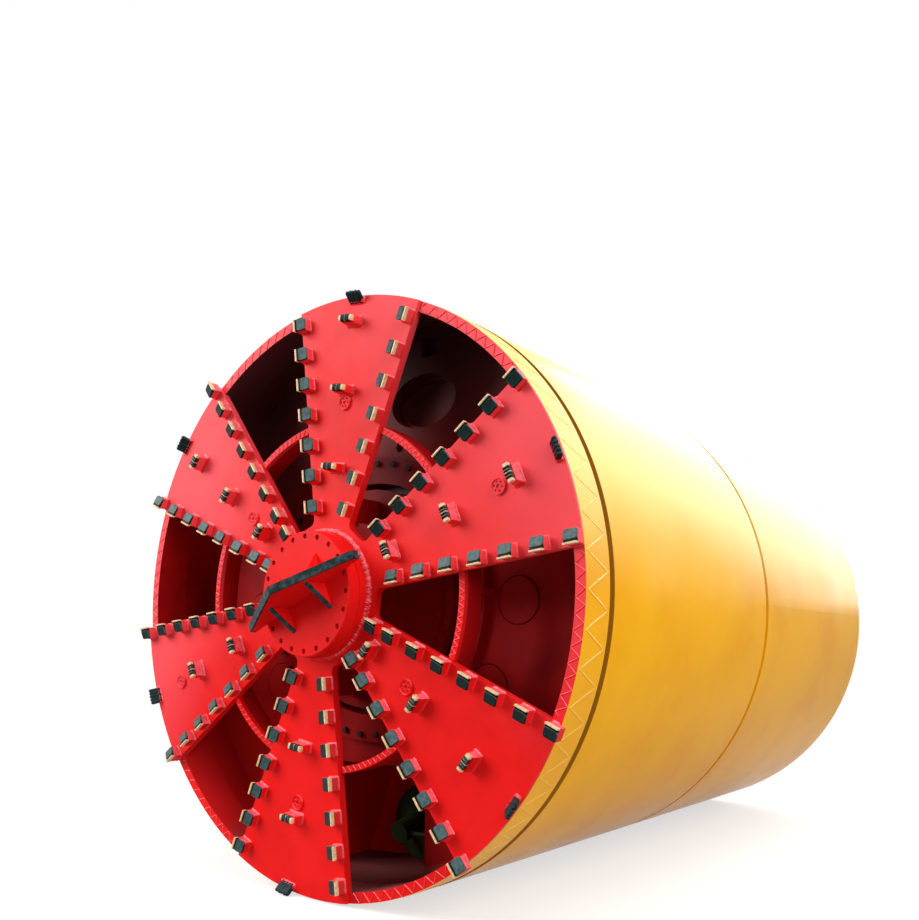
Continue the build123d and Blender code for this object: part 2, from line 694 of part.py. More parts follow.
def dish(station, wall):
    """A pressed bowl of the manhole's outline, with a ball-shaped bottom."""
    ball_r = (MANHOLE_HALF_W ** 2 + DOOR_DISH ** 2) / (2 * DOOR_DISH)
    bottom = station + DOOR_T + DOOR_DISH
    bowl = Pos(MANHOLE_AT[0], bottom - ball_r, MANHOLE_AT[1]) * Sphere(ball_r - wall)
    return bowl & slab(oval(-wall), station - 1, station + BIG)


def man_door():
    """An oval dished door behind the bulkhead, with the knuckles of its hinge."""
    land = oval(DOOR_LAND)
    back = BULKHEAD_REAR + SLIDE
    door = slab(land, back, back + DOOR_T)
    behind = slab(Rectangle(2 * HULL_R, 2 * HULL_R), back, back + BIG)
    outer = dish(back, 0.0) & behind
    inner = dish(back, DOOR_WALL)
    arms = []
    for z in (MANHOLE_AT[1] - KNUCKLE_AT, MANHOLE_AT[1] + KNUCKLE_AT):
        arm = Pos(HINGE_X - HINGE_OUT, z) * Rectangle(2 * HINGE_OUT, KNUCKLE_W)
        arms.append(slab(arm, back + ARM_STEP, back + DOOR_T))
        arms.append(Pos(HINGE_X, HINGE_Y, z) * Cylinder(KNUCKLE_R, KNUCKLE_W))
    door = door + outer + arms - inner
    return door - Pos(HINGE_X, HINGE_Y, MANHOLE_AT[1]) * Cylinder(HINGE_R + SLIDE, 2 * PIN_LONG)


def door_hinge():
    """The hinge pin and its block on the bulkhead, between the door's knuckles."""
    block = Pos(HINGE_X, MANHOLE_AT[1]) * Rectangle(2 * (HINGE_R + HINGE_BLOCK_WALL), HINGE_BLOCK_H)
    pin = Pos(HINGE_X, HINGE_Y, MANHOLE_AT[1]) * Cylinder(HINGE_R, PIN_LONG)
    return slab(block, BULKHEAD_REAR, HINGE_Y + HINGE_R + PIN_PROUD) + pin


# ---- shields ------------------------------------------------------------
def front_shell():
    """The front skin, with a thinner nose that closes the gap behind the rim."""
    skin = tube(HULL_R, HULL_IN_R, FRONT_SHIELD, FRONT_END)
    return skin + tube(NOSE_R, HULL_IN_R, RIM_DEPTH + NOSE_GAP, FRONT_SHIELD)


def stiffeners(station):
    """A flat ring inside a shield."""
    return tube(HULL_IN_R - FIT, HULL_IN_R - STIFFENER_WALL, station, station + STIFFENER_T)


def zone(radius, front, rear, outwards):
    """Profile points of a ball's zone about the pivot, by its tangents or chords."""
    stations = [front + (rear - front) * n / ZONE_STEPS for n in range(ZONE_STEPS + 1)]
    reach = radius / cos(radians(ZONE_TURN)) if outwards else radius
    return [(sqrt(reach ** 2 - (y - PIVOT) ** 2), y) for y in stations]


def seal_ring():
    """The articulation's seal: a ball-shaped ring seated in the front shield."""
    front, rear = PIVOT - SEAL_HALF, PIVOT + SEAL_HALF
    outer = zone(HULL_IN_R - SLIDE, front, rear, False)
    inner = zone(HULL_IN_R - SEAL_T, front, rear, True)
    return revolve(make_face(Polyline(*outer, *inner[::-1], close=True)), Axis.Y)


def spigot():
    """The rear shield's front: a ball-shaped band in the seal, a neck and a step ring."""
    front, neck = PIVOT - SPIGOT_FRONT, PIVOT + SEAL_HALF + SPIGOT_TAPER
    band = zone(SPIGOT_R, front, neck, False)
    neck_r = HULL_IN_R - SPIGOT_RELIEF
    rear = REAR_START + STEP_RING_T
    outline = band + [
        (neck_r, neck), (neck_r, REAR_START), (HULL_R, REAR_START),
        (HULL_R, rear), (SPIGOT_IN_R, rear), (SPIGOT_IN_R, front),
    ]
    return revolve(make_face(Polyline(*outline, close=True)), Axis.Y)


def rear_shell():
    return tube(HULL_R, HULL_IN_R, REAR_START + STEP_RING_T, TAIL_SEAM)


def tail_shell():
    """The tail skin, thinned at its end to take the first pipe."""
    mouth = slab(Circle(PIPE_R), TAIL_END - TAIL_SOCKET, TAIL_END)
    return tube(HULL_R, HULL_IN_R, TAIL_SEAM, TAIL_END) - mouth


def push_ring():
    """The ring that the first pipe bears on, ahead of the tail's socket."""
    rear = TAIL_END - TAIL_SOCKET
    return tube(HULL_IN_R - FIT, HULL_IN_R - PUSH_RING_WALL, rear - PUSH_RING_T, rear)


# ---- steering cylinders -------------------------------------------------
CLOCK = {"top": 0, "right": 90, "left": 270}


def eye(station, width):
    """The outline of a pin eye at the top cylinder's place, across X."""
    return Pos(0, station, CYLINDER_R) * Rot(0, 90, 0) * Cylinder(EYE_R, width)


def lugs(station, seat_r):
    """Two lugs with their pin, from a shell's inside to the top cylinder's axis."""
    outline = Polyline(
        (station - LUG_FOOT, HULL_R), (station + LUG_FOOT, HULL_R),
        (station + LUG_HALF, CYLINDER_R), (station + LUG_HALF / 2, CYLINDER_R - LUG_HALF * 0.8),
        (station - LUG_HALF / 2, CYLINDER_R - LUG_HALF * 0.8), (station - LUG_HALF, CYLINDER_R),
        close=True,
    )
    plate = extrude(Plane.YZ * make_face(outline), LUG_T)
    out = EYE_W / 2 + LUG_GAP
    pair = plate.moved(Location((out, 0, 0))) + plate.moved(Location((-out - LUG_T, 0, 0)))
    pin = Pos(0, station, CYLINDER_R) * Rot(0, 90, 0) * Cylinder(PIN_R, 2 * (out + LUG_T + PIN_PROUD))
    limit = slab(Circle(seat_r - FIT), station - BIG, station + BIG)
    return (pair & limit) + pin


def barrel():
    """The cylinder's barrel with its foot eye and end cap."""
    start = CYLINDER_BASE + BARREL_START
    body = Pos(0, start + BARREL_LONG / 2, CYLINDER_R) * Rot(90, 0, 0) * Cylinder(BARREL_R, BARREL_LONG)
    cap = Pos(0, start + BARREL_LONG - BARREL_CAP / 2, CYLINDER_R)
    body += cap * Rot(90, 0, 0) * Cylinder(BARREL_R + CAP_PROUD, BARREL_CAP)
    neck = Pos(0, CYLINDER_BASE + BARREL_START / 2, CYLINDER_R) * Box(EYE_W, BARREL_START + 2, 1.3 * EYE_R)
    body += eye(CYLINDER_BASE, EYE_W) + neck
    body -= Pos(0, CYLINDER_BASE, CYLINDER_R) * Rot(0, 90, 0) * Cylinder(PIN_R + FIT, 2 * EYE_W)
    deep = BARREL_LONG - 2 * BARREL_CAP
    bore = Pos(0, start + BARREL_CAP + deep / 2, CYLINDER_R) * Rot(90, 0, 0)
    gland = Pos(0, start + BARREL_LONG, CYLINDER_R) * Rot(90, 0, 0)
    return body - bore * Cylinder(BORE_R, deep) - gland * Cylinder(ROD_R + SLIDE, 3 * BARREL_CAP)


def rod():
    """The cylinder's rod with its eye in the pivot's plane."""
    start = CYLINDER_BASE + BARREL_START + BARREL_LONG - ROD_INSIDE
    length = PIVOT - BARREL_START - start
    stem = Pos(0, start + length / 2, CYLINDER_R) * Rot(90, 0, 0) * Cylinder(ROD_R, length)
    neck = Pos(0, PIVOT - BARREL_START / 2, CYLINDER_R) * Box(EYE_W, BARREL_START + 2, 1.3 * ROD_R)
    stem += eye(PIVOT, EYE_W) + neck
    hole = Pos(0, PIVOT, CYLINDER_R) * Rot(0, 90, 0) * Cylinder(PIN_R + PIN_CLEARANCE, 2 * EYE_W)
    return stem - hole


def around(piece):
    """One piece at each of the three cylinders."""
    return solids_of([at_clock(angle, piece) for angle in CLOCK.values()])


# ---- screw conveyor -----------------------------------------------------
def screw_height(station):
    return SCREW_Z + (station - CHAMBER_DEPTH) * tan(radians(SCREW_TILT))


def chute_box(half, top, foot):
    height = top - foot
    return Pos(0, CHUTE_AT, foot + height / 2) * Box(2 * half, 2 * half, height)


def screw_casing():
    """The conveyor's tube, from the hopper's rear wall to its end flange."""
    tube_wall = screw_line(CASING_R, end=CASING_END) - screw_line(CASING_R - CASING_T)
    tube_wall &= slab(Circle(BIG), HOPPER_REAR, BIG)
    end_plate = screw_line(CASING_R + CASING_FLANGE, CASING_END - CASING_FLANGE_T, CASING_END)
    tube_wall += end_plate - screw_line(SHAFT_R + SLIDE)
    throat = chute_box(CHUTE_HALF - CHUTE_WALL, screw_height(CHUTE_AT), CHUTE_FOOT)
    return tube_wall - throat


def screw_chute():
    """The discharge chute, its gate's guides and its outlet flange."""
    top = screw_height(CHUTE_AT)
    outer = chute_box(CHUTE_HALF, top, CHUTE_FOOT)
    slot = GATE_T + SLIDE + GATE_SLOT
    guide_z = CHUTE_FOOT + OUTLET_FLANGE_T + RAIL + slot / 2
    guide_long = 2 * CHUTE_HALF + GATE_TRAVEL + 2 * RAIL
    guide = Pos(0, CHUTE_AT + guide_long / 2 - CHUTE_HALF - RAIL, guide_z)
    frame = guide * Box(2 * (CHUTE_HALF + RAIL), guide_long, slot + 2 * RAIL)
    inside = Pos(0, RAIL + CHUTE_HALF * 2, 0) * guide
    frame -= inside * Box(2 * CHUTE_HALF - RAIL, guide_long, slot + 3 * RAIL)
    flange = Pos(0, CHUTE_AT, CHUTE_FOOT + OUTLET_FLANGE_T / 2)
    plate = flange * Cylinder(OUTLET_CIRCLE_R + 40, OUTLET_FLANGE_T)
    body = outer + frame + plate
    body -= chute_box(CHUTE_HALF - CHUTE_WALL, top, CHUTE_FOOT)
    body -= guide * Box(2 * CHUTE_HALF + GATE_SLOT, 2 * guide_long, slot)
    for n in range(OUTLET_BOLTS):
        turn = (n + 0.5) * 360 / OUTLET_BOLTS
        body -= flange * Rot(0, 0, turn) * Pos(OUTLET_CIRCLE_R, 0) * Cylinder(OUTLET_BOLT_R, BIG / 10)
    return body - screw_line(CASING_R + FIT)


def gate_blade():
    """The sliding gate, closed, with its pull lug outside the guides."""
    z = CHUTE_FOOT + OUTLET_FLANGE_T + RAIL + SLIDE + GATE_T / 2
    long = 2 * CHUTE_HALF + 2 * RAIL
    blade = Pos(0, CHUTE_AT + RAIL, z) * Box(2 * CHUTE_HALF, long, GATE_T)
    return blade


def screw_auger():
    """Shaft and flight; the flight is modelled where the hopper shows it."""
    shaft = screw_line(SHAFT_R, FLIGHT_START - 30, CASING_END + 30)
    outer = CASING_R - CASING_T - AUGER_CLEARANCE
    height = FLIGHT_PITCH * FLIGHT_TURNS
    path = Helix(FLIGHT_PITCH, height, SHAFT_R)
    profile = Plane(origin=path @ 0, x_dir=(1, 0, 0), z_dir=path % 0)
    section = profile * Pos((outer - SHAFT_R) / 2 - 5, 0) * Rectangle(outer - SHAFT_R + 10, FLIGHT_T)
    flight = sweep(section, path, is_frenet=True)
    return shaft + SCREW_LIE * Pos(0, 0, FLIGHT_START) * flight


def screw_motor():
    """The screw's gearbox and motor on the casing's end flange."""
    start = CASING_END + SCREW_MOTOR_RING
    body = screw_line(SCREW_MOTOR_R, start, start + SCREW_MOTOR_LONG)
    ring = screw_line(CASING_R, CASING_END, start) - screw_line(SHAFT_R + 6)
    return body + ring


# ---- assembly -----------------------------------------------------------
def build():
    nodes = {
        "head_frame": head_frame(),
        "head_rim": head_rim(),
        "head_ring": head_ring(),
        "hub_base": hub_base(),
        "hub_cover": hub_cover(),
        "centre_cutter": centre_cutter(),
        "cutter_facing": cutter_facing(),
        "scraper_holders": scraper_holders(),
        "scraper_blades": scraper_blades(),
        "scraper_tips": scraper_tips(),
        "ripper_holders": ripper_holders(),
        "ripper_teeth": ripper_teeth(),
        "ripper_facings": ripper_facings(),
        "gauge_holders": gauge_holders(),
        "gauge_teeth": gauge_teeth(),
        "foam_nozzles": foam_nozzles(),
        "drive_drum": drive_drum(),
        "drive_legs": drive_legs(),
        "mixing_bars": mixing_bars(),
        "bulkhead": bulkhead(),
        "bulkhead_covers": bulkhead_covers(),
        "drive_flange": drive_flange(),
        "drive_housing": drive_housing(),
        "drive_motors": drive_motors(),
        "fixed_mixing_bars": fixed_mixing_bars(),
        "screw_hopper": screw_hopper(),
        "man_door": man_door(),
        "door_hinge": door_hinge(),
        "front_shell": front_shell(),
        "front_stiffener": stiffeners(CYLINDER_BASE + LUG_FOOT + STIFFENER_GAP),
        "front_brackets": around(lugs(CYLINDER_BASE, HULL_IN_R)),
        "cylinder_barrels": around(barrel()),
        "screw_casing": screw_casing(),
        "screw_chute": screw_chute(),
        "screw_motor": screw_motor(),
        "screw_auger": screw_auger(),
        "gate_blade": gate_blade(),
        "seal_ring": seal_ring(),
        "spigot": spigot(),
        "rear_shell": rear_shell(),
        "rear_stiffener": stiffeners(PIVOT + REAR_STIFFENER_BACK),
        "rear_brackets": around(lugs(PIVOT, SPIGOT_IN_R)),
        "push_ring": push_ring(),
        "tail_shell": tail_shell(),
    }
    for name, angle in CLOCK.items():
        nodes["cylinder_rod_" + name] = at_clock(angle, rod())
    return nodes


def lowest():
    """How far below the axis the hull and the lowest gauge tooth reach."""
    half = degrees(asin(GAUGE_LONG / 2 / GAUGE_R))
    off = min(abs((HEAD_TURN + n * 360 / SPOKES) % 360 - 180) for n in range(SPOKES))
    return max(HULL_R, GAUGE_R * cos(radians(max(0.0, off - half))))


os.makedirs("parts", exist_ok=True)
front_tip = HUB_FACE - FISHTAIL_RISE
set_down = Location((0, -(front_tip + TAIL_END) / 2, lowest()))
print("set down by", set_down.position)
for node, shape in build().items():
    export_step(shape.moved(set_down), f"parts/{node}.step")
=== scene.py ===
"""Looks of a pipe-jacking tunnel boring machine: paint, hard facing, weld beads and bolts.

Places are given as on the machine's drawings, in millimetres: a station counts backwards
from the rim's front face, a radius from the machine's axis, and a clock angle in degrees
clockwise from the top, seen from the front.
"""
import json
from math import atan, degrees, radians

import bmesh
import bpy
import numpy as np
from mathutils import Matrix, Vector


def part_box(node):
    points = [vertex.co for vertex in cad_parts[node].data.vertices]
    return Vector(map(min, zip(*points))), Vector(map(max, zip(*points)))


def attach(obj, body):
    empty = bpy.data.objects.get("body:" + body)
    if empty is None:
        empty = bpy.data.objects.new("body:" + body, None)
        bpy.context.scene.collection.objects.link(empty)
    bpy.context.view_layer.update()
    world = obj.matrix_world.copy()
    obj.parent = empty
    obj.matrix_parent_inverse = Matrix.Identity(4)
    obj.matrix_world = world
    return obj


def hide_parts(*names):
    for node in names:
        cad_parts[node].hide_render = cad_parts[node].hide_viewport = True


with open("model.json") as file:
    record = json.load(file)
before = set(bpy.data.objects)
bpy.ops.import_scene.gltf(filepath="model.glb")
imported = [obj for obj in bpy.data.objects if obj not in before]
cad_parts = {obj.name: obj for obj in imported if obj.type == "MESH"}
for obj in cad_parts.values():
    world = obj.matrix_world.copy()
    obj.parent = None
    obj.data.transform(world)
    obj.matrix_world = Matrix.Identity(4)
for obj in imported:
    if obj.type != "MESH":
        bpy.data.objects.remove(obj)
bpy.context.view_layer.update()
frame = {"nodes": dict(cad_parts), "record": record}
nodes = frame["nodes"]

MM = 0.001
TURN = 2 * np.pi
shell_low, shell_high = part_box("front_shell")
AXIS_X = (shell_low.x + shell_high.x) / 2
AXIS_Z = (shell_low.z + shell_high.z) / 2
FRONT_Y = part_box("head_rim")[0].y

# the machine's own measures that the finishing pieces follow
HULL_R = 1820.0
HULL_IN_R = 1770.0
SHELL_FRONT = 285.0  # where the front shell begins
RIM_R = 1817.0
RIM_IN_R = 1755.0
RIM_DEPTH = 240.0
RING_OUT_R = 1075.0
RING_IN_R = 1035.0
PLATE_FACE = -20.0
PLATE_BACK = 30.0
HEAD_TURN = 8.77
SPOKES = 6
SPOKE_HALF_AT_AXIS = 35.0
SPOKE_TAPER = 0.265
SPOKE_LEAN = degrees(atan(SPOKE_TAPER))
HUB_BASE_R = 384.0
HUB_FACE = -171.0
HUB_BOLTS = 20
HUB_CIRCLE_R = 344.0
CUTTER_TURN = 57.0
CUTTER_T = 50.0
SCRAPER_SIDE = 80.0
SCRAPER_HEEL = 57.0
SCRAPER_EDGE = 80.0
BLADE_T = 13.0
TIP_W = 11.0
TIP_T = 24.0
BRAZE_W = 12.0
SCRAPER_PITCH = 189.0
SCRAPERS = 7
SCRAPER_ROWS = [(525.0, None), (595.0, None), (622.0, 476.0)]  # first radius, one more inside
RIPPER_LONG = 118.0
RIPPER_WIDE = 40.0
RIPPER_RISE = 62.0
RIPPER_TOOTH = 30.0
RIPPER_MIDDLE = 70.0
RIPPER_RADII = [
    (1661.0, 1245.0, 773.0),
    (1533.0, 1084.0, 621.0),
    (1470.0, 1007.0, 544.0),
    (1368.0, 932.0),
    (1279.0, 834.0),
    (1556.0, 1116.0, 679.0),
]
NOZZLE_RADII = (1171.0, 1409.0, 872.0, 1279.0, 1508.0, 845.0)
NOZZLE_R = 46.0
NOZZLE_T = 14.0
NOZZLE_BORE = 12.0
NOZZLE_LIP = 7.5  # width of the raised rim
NOZZLE_PORTS = 6
NOZZLE_PORT_CIRCLE_R = 27.0
NOZZLE_PORT_R = 5.2
GAUGE_R = 1838.0
GAUGE_FOOT_R = 1800.0
GAUGE_LONG = 118.0
GAUGE_FRONT = -82.0
GAUGE_BAR = (42.0, 15.0)  # half its height and half its thickness
GAUGE_HOLDER_LONG = 108.0
GAUGE_HOLDER_R = 1774.0
GAUGE_HOLDER_FRONT = -38.0
BULKHEAD_REAR = 520.0
FLANGE_FACE = 395.0
HOPPER_REAR = 1130.0
STEPS_PER_TOOTH = 8  # of the zigzag weld beads
BAND_TEETH = 58
BAND_SWING = 104.0
MIDDLE_STATION = 900.0  # what the lamps are aimed at


# ---- shader expressions -------------------------------------------------
class Value:
    """One output socket; arithmetic on it adds Math nodes to its tree."""

    def __init__(self, shading, socket):
        self.shading, self.socket = shading, socket

    def math(self, operation, *values):
        """One Math node on the given values, in their order."""
        inputs = dict(enumerate(values))
        return self.shading.node("ShaderNodeMath", {"operation": operation}, inputs)

    def __add__(self, other):
        return self.math("ADD", self, other)

    def __sub__(self, other):
        return self.math("SUBTRACT", self, other)

    def __rsub__(self, other):
        return self.math("SUBTRACT", other, self)

    def __mul__(self, other):
        return self.math("MULTIPLY", self, other)

    def __truediv__(self, other):
        return self.math("DIVIDE", self, other)

    def __pow__(self, other):
        return self.math("POWER", self, other)

    __radd__, __rmul__ = __add__, __mul__

    def absolute(self):
        """The value without its sign."""
        return self.math("ABSOLUTE", self)

    def larger(self, other):
        """The larger of the two."""
        return self.math("MAXIMUM", self, other)

    def smaller(self, other):
        """The smaller of the two."""
        return self.math("MINIMUM", self, other)

    def rise(self, low, high):
        """0 below low, 1 above high, smooth between; falls where low is the larger."""
        return self.shading.node(
            "ShaderNodeMapRange",
            {"interpolation_type": "SMOOTHSTEP"},
            {"Value": self, "From Min": low, "From Max": high},
        )


class Shading:
    """A node tree in the making."""

    def __init__(self, tree):
        self.tree = tree

    def node(self, kind, settings=None, inputs=None, output=0):
        """Adds a node: its settings first, then the values or links of its sockets."""
        made = self.tree.nodes.new(kind)
        for key, value in (settings or {}).items():
            setattr(made, key, value)
        for key, value in (inputs or {}).items():
            self.feed(made.inputs[key], value)
        return None if output is None else Value(self, made.outputs[output])

    def feed(self, socket, value):
        """Links a value to a socket, or sets the socket to a number or colour."""
        if isinstance(value, Value):
            self.tree.links.new(value.socket, socket)
        else:
            socket.default_value = value


class Finish(Shading):
    """A material in the making, with the coordinates that its patterns use."""

    def __init__(self, name):
        self.material = bpy.data.materials.new(name)
        self.material.use_nodes = True
        super().__init__(self.material.node_tree)
        self.shader = self.tree.nodes["Principled BSDF"]
        self.place = self.node("ShaderNodeTexCoord", output="Object")
        self.x, self.y, self.z = (
            self.node("ShaderNodeSeparateXYZ", None, {0: self.place}, output=axis) for axis in "XYZ"
        )
        self.up = (self.z - AXIS_Z) / MM
        self.across = (self.x - AXIS_X) / MM
        self.station = (self.y - FRONT_Y) / MM
        self.radius = (self.up * self.up + self.across * self.across) ** 0.5

    def noise(self, size, detail=3.0, place=None, roughness=0.55):
        """Cloudy noise from 0 to 1 whose patches are about size millimetres across."""
        return self.node(
            "ShaderNodeTexNoise",
            None,
            {
                "Vector": place or self.place,
                "Scale": 1 / (size * MM),
                "Detail": detail,
                "Roughness": roughness,
            },
        )

    def skywards(self, low, high):
        """How far a piece's faces look towards the bright part of the sky, from 0 to 1."""
        return self.node(
            "ShaderNodeAttribute", {"attribute_name": "skywards"}, output="Fac"
        ).rise(low, high)

    def stretched(self, x, y, z):
        """Object coordinates scaled along each axis, for streaks."""
        return self.node(
            "ShaderNodeVectorMath", {"operation": "MULTIPLY"}, {0: self.place, 1: (x, y, z)}
        )

    def mix(self, mask, first, second):
        """The first colour where the mask is 0 and the second where it is 1."""
        colours = {6: first, 7: second}
        for key, value in colours.items():
            if not isinstance(value, Value):
                colours[key] = (*value, 1.0)
        return self.node("ShaderNodeMix", {"data_type": "RGBA"}, {0: mask, **colours}, output=2)

    def bump(self, height, depth, under=None):
        """Turns a height from 0 to 1 into a normal; depth is in millimetres."""
        inputs = {"Height": height, "Distance": depth * MM, "Strength": 1.0}
        if under is not None:
            inputs["Normal"] = under
        return self.node("ShaderNodeBump", None, inputs)

    def done(self, **sockets):
        """Sets the surface's own sockets, named with underscores for spaces."""
        for key, value in sockets.items():
            name = key.replace("_", " ")
            if name.endswith("Color") and not isinstance(value, Value):
                value = (*value, 1.0)
            self.feed(self.shader.inputs[name], value)
        return self.material


# linear colours
RED, RED_DEEP = (0.82, 0.011, 0.010), (0.74, 0.008, 0.008)
# pink of the painted sheen on the head's red
RED_SHEEN_PINK = (0.97, 0.15, 0.18)
# pink of the painted sheen on faces that look skywards
RED_FACE_SHEEN = (1.0, 0.17, 0.21)
RED_SCUFFED = (0.30, 0.012, 0.012)
# painted light on the hopper's left wall
RED_HOPPER_LIT = (0.90, 0.012, 0.014)
# the chamber's red darkened with painted shade, also used behind the plates
RED_SHADED_INSIDE, RED_SHADED_INSIDE_DEEP = (0.42, 0.006, 0.007), (0.28, 0.004, 0.005)
# painted pool of light on the chamber's red
RED_INSIDE_LIT = (0.66, 0.014, 0.016)
YELLOW, YELLOW_DEEP = (1.0, 0.47, 0.006), (0.92, 0.39, 0.004)
# pale yellow of the painted sheen towards the top
YELLOW_SHEEN = (1.0, 0.74, 0.24)
YELLOW_DIRTY, YELLOW_SCUFFED = (0.50, 0.24, 0.02), (0.30, 0.14, 0.02)
DUST = (0.24, 0.08, 0.075)
# near black: painted shade at the chamber's top, also the blackened studs and the drive housing's
# front
SOOT_AND_SHADE = (0.060, 0.028, 0.028)
DULL_STEEL = (0.018, 0.034, 0.034)
CUTTER_DARK, CUTTER_PALE = (0.004, 0.014, 0.014), (0.040, 0.066, 0.072)
GOLD, GOLD_DEEP = (0.82, 0.60, 0.34), (0.62, 0.38, 0.16)
TEAL, TEAL_DEEP = (0.05, 0.13, 0.16), (0.03, 0.09, 0.11)
FLOOR_GREY, FLOOR_GREY_DEEP = (0.46, 0.46, 0.46), (0.44, 0.44, 0.44)
FLOOR_GLOW = (0.64, 0.64, 0.64)
BLACK, WHITE = (0.0, 0.0, 0.0), (1.0, 1.0, 1.0)


def red_tone(finish):
    """Red with a painted sheen that pales it to a pink outwards and upwards, most at the upper
    left.
    """
    tone = finish.mix(finish.noise(420, 4).rise(0.35, 0.65), RED, RED_DEEP)
    aside = finish.across.absolute() - finish.across * 0.15
    # painted sheen: how far the sky's highlight falls on the face here
    broad_sheen = aside + finish.up * 0.65 + (finish.noise(700, 3) - 0.5) * 700
    return finish.mix(broad_sheen.rise(500, 2050) * 0.48, tone, RED_SHEEN_PINK)


def inside_tone(finish):
    """Red of the chamber darkened with painted shade, darkest towards the top, with a painted pool
    of light at the lower left and dust where the wall is a floor.
    """
    tone = finish.mix(finish.noise(380, 4).rise(0.35, 0.65), RED_SHADED_INSIDE, RED_SHADED_INSIDE_DEEP)
    # painted light: where light falls through the lower gap onto the chamber's lower left
    lit = finish.across.rise(-200, -1100) * finish.up.rise(-200, -900)
    tone = finish.mix(lit, tone, RED_INSIDE_LIT)
    # painted shade, deepening towards the top of the chamber
    shade_at_top = (finish.up + (finish.noise(500, 3) - 0.5) * 700).rise(200, 1500) * 0.9
    tone = finish.mix(shade_at_top, tone, SOOT_AND_SHADE)
    floor_dust = finish.up.rise(-1450, -1640) * finish.radius.rise(1690, 1740)
    return finish.mix(floor_dust * (0.35 + finish.noise(160, 5) * 0.9).smaller(1.0), tone, DUST)


def yellow_tone(finish):
    """Warm yellow, with a painted sheen that pales it towards the top."""
    tone = finish.mix(finish.noise(800, 4).rise(0.35, 0.7), YELLOW, YELLOW_DEEP)
    # painted highlight: the top takes the sky's glare
    top_sheen = (finish.up + (finish.noise(900, 2) - 0.5) * 500).rise(-120, 650)
    return finish.mix(top_sheen * 0.84, tone, YELLOW_SHEEN)


def red_paint():
    """Brushed red paint on the head; behind the plates it is darkened with painted shade."""
    finish = Finish("red_paint")
    # painted shade: surfaces behind the plates take the chamber's shaded red
    behind = finish.station.rise(PLATE_BACK - 3, PLATE_BACK + 3)
    tone = finish.mix(behind * finish.radius.rise(300, 420), red_tone(finish), RED_SHADED_INSIDE)
    scuffs = finish.noise(35, 6, roughness=0.7).rise(0.67, 0.75) * 0.3
    tone = finish.mix(scuffs, tone, RED_SCUFFED)
    return finish.done(
        Base_Color=tone,
        Roughness=0.34 + finish.noise(160, 3) * 0.16,
        Normal=finish.bump(finish.noise(14, 2), 0.4),
        Specular_IOR_Level=0.06,
    )


def chamber_paint():
    """The bulkhead's red: darkened with painted shade, deepest above, with a painted pool of light
    at its lower left.
    """
    finish = Finish("chamber_paint")
    return finish.done(
        Base_Color=inside_tone(finish),
        Roughness=0.46 + finish.noise(160, 3) * 0.16,
        Normal=finish.bump(finish.noise(20, 3), 0.5),
        Specular_IOR_Level=0.08,
    )


def hopper_paint():
    """The hopper's walls: the left one brighter red, a painted pool of light on it."""
    finish = Finish("hopper_paint")
    bright = finish.across.rise(60, -120)
    return finish.done(
        Base_Color=finish.mix(bright, inside_tone(finish), RED_HOPPER_LIT),
        Roughness=0.46 + finish.noise(160, 3) * 0.16,
        Normal=finish.bump(finish.noise(20, 3), 0.5),
        Specular_IOR_Level=0.06,
    )


def stud_paint():
    """Flange in the chamber's red darkened with painted shade, with blackened studs and joint."""
    finish = Finish("flange_paint")
    studs = finish.station.rise(FLANGE_FACE - 1, FLANGE_FACE - 4)
    return finish.done(
        Base_Color=finish.mix(studs, inside_tone(finish), SOOT_AND_SHADE),
        Roughness=0.42 + finish.noise(90, 3) * 0.2,
        Normal=finish.bump(finish.noise(20, 3), 0.5),
        Specular_IOR_Level=0.08,
    )


def rim_paint():
    """Red on the rim's face, red darkened with painted shade inside, yellow round its outside."""
    finish = Finish("rim_paint")
    outside = finish.radius.rise(RIM_R - 1.6, RIM_R - 0.8)
    # painted shade on the rim's inside
    inside = finish.station.rise(1.0, 4.0)
    tone = finish.mix(inside, red_tone(finish), inside_tone(finish))
    return finish.done(
        Base_Color=finish.mix(outside, tone, yellow_tone(finish)),
        Roughness=0.28 + finish.noise(160, 3) * 0.16,
        Normal=finish.bump(finish.noise(14, 2), 0.4),
        Specular_IOR_Level=0.06,
    )


def hull_paint():
    """Glossy yellow with slow waves and a dirty foot; inside, ahead of the bulkhead, red darkened
    with painted shade.
    """
    finish = Finish("hull_paint")
    low = finish.up.rise(-1000, -1800)
    dirt = finish.noise(260, 6, roughness=0.65).rise(0.52, 0.70) * low * 0.35
    tone = finish.mix(dirt, yellow_tone(finish), YELLOW_DIRTY)
    inner = finish.radius.rise(HULL_R - 2, HULL_R - 4)
    # painted shade: the shell's inside in the chamber takes the shaded red
    chamber = inner * finish.station.rise(HOPPER_REAR + 40, HOPPER_REAR + 20)
    tone = finish.mix(chamber, tone, inside_tone(finish))
    front = finish.station.rise(SHELL_FRONT + 1.5, SHELL_FRONT - 0.5)
    gap = front * finish.radius.rise(HULL_IN_R + 1, HULL_IN_R + 4)
    tone = finish.mix(gap, tone, YELLOW_DIRTY)
    peel = finish.bump(finish.noise(12, 2), 0.3, under=finish.bump(finish.noise(700, 2), 5.0))
    return finish.done(
        Base_Color=tone,
        Roughness=0.18 + finish.noise(200, 3) * 0.1 + (dirt + chamber) * 0.3,
        Normal=peel,
        Specular_IOR_Level=0.02,
    )


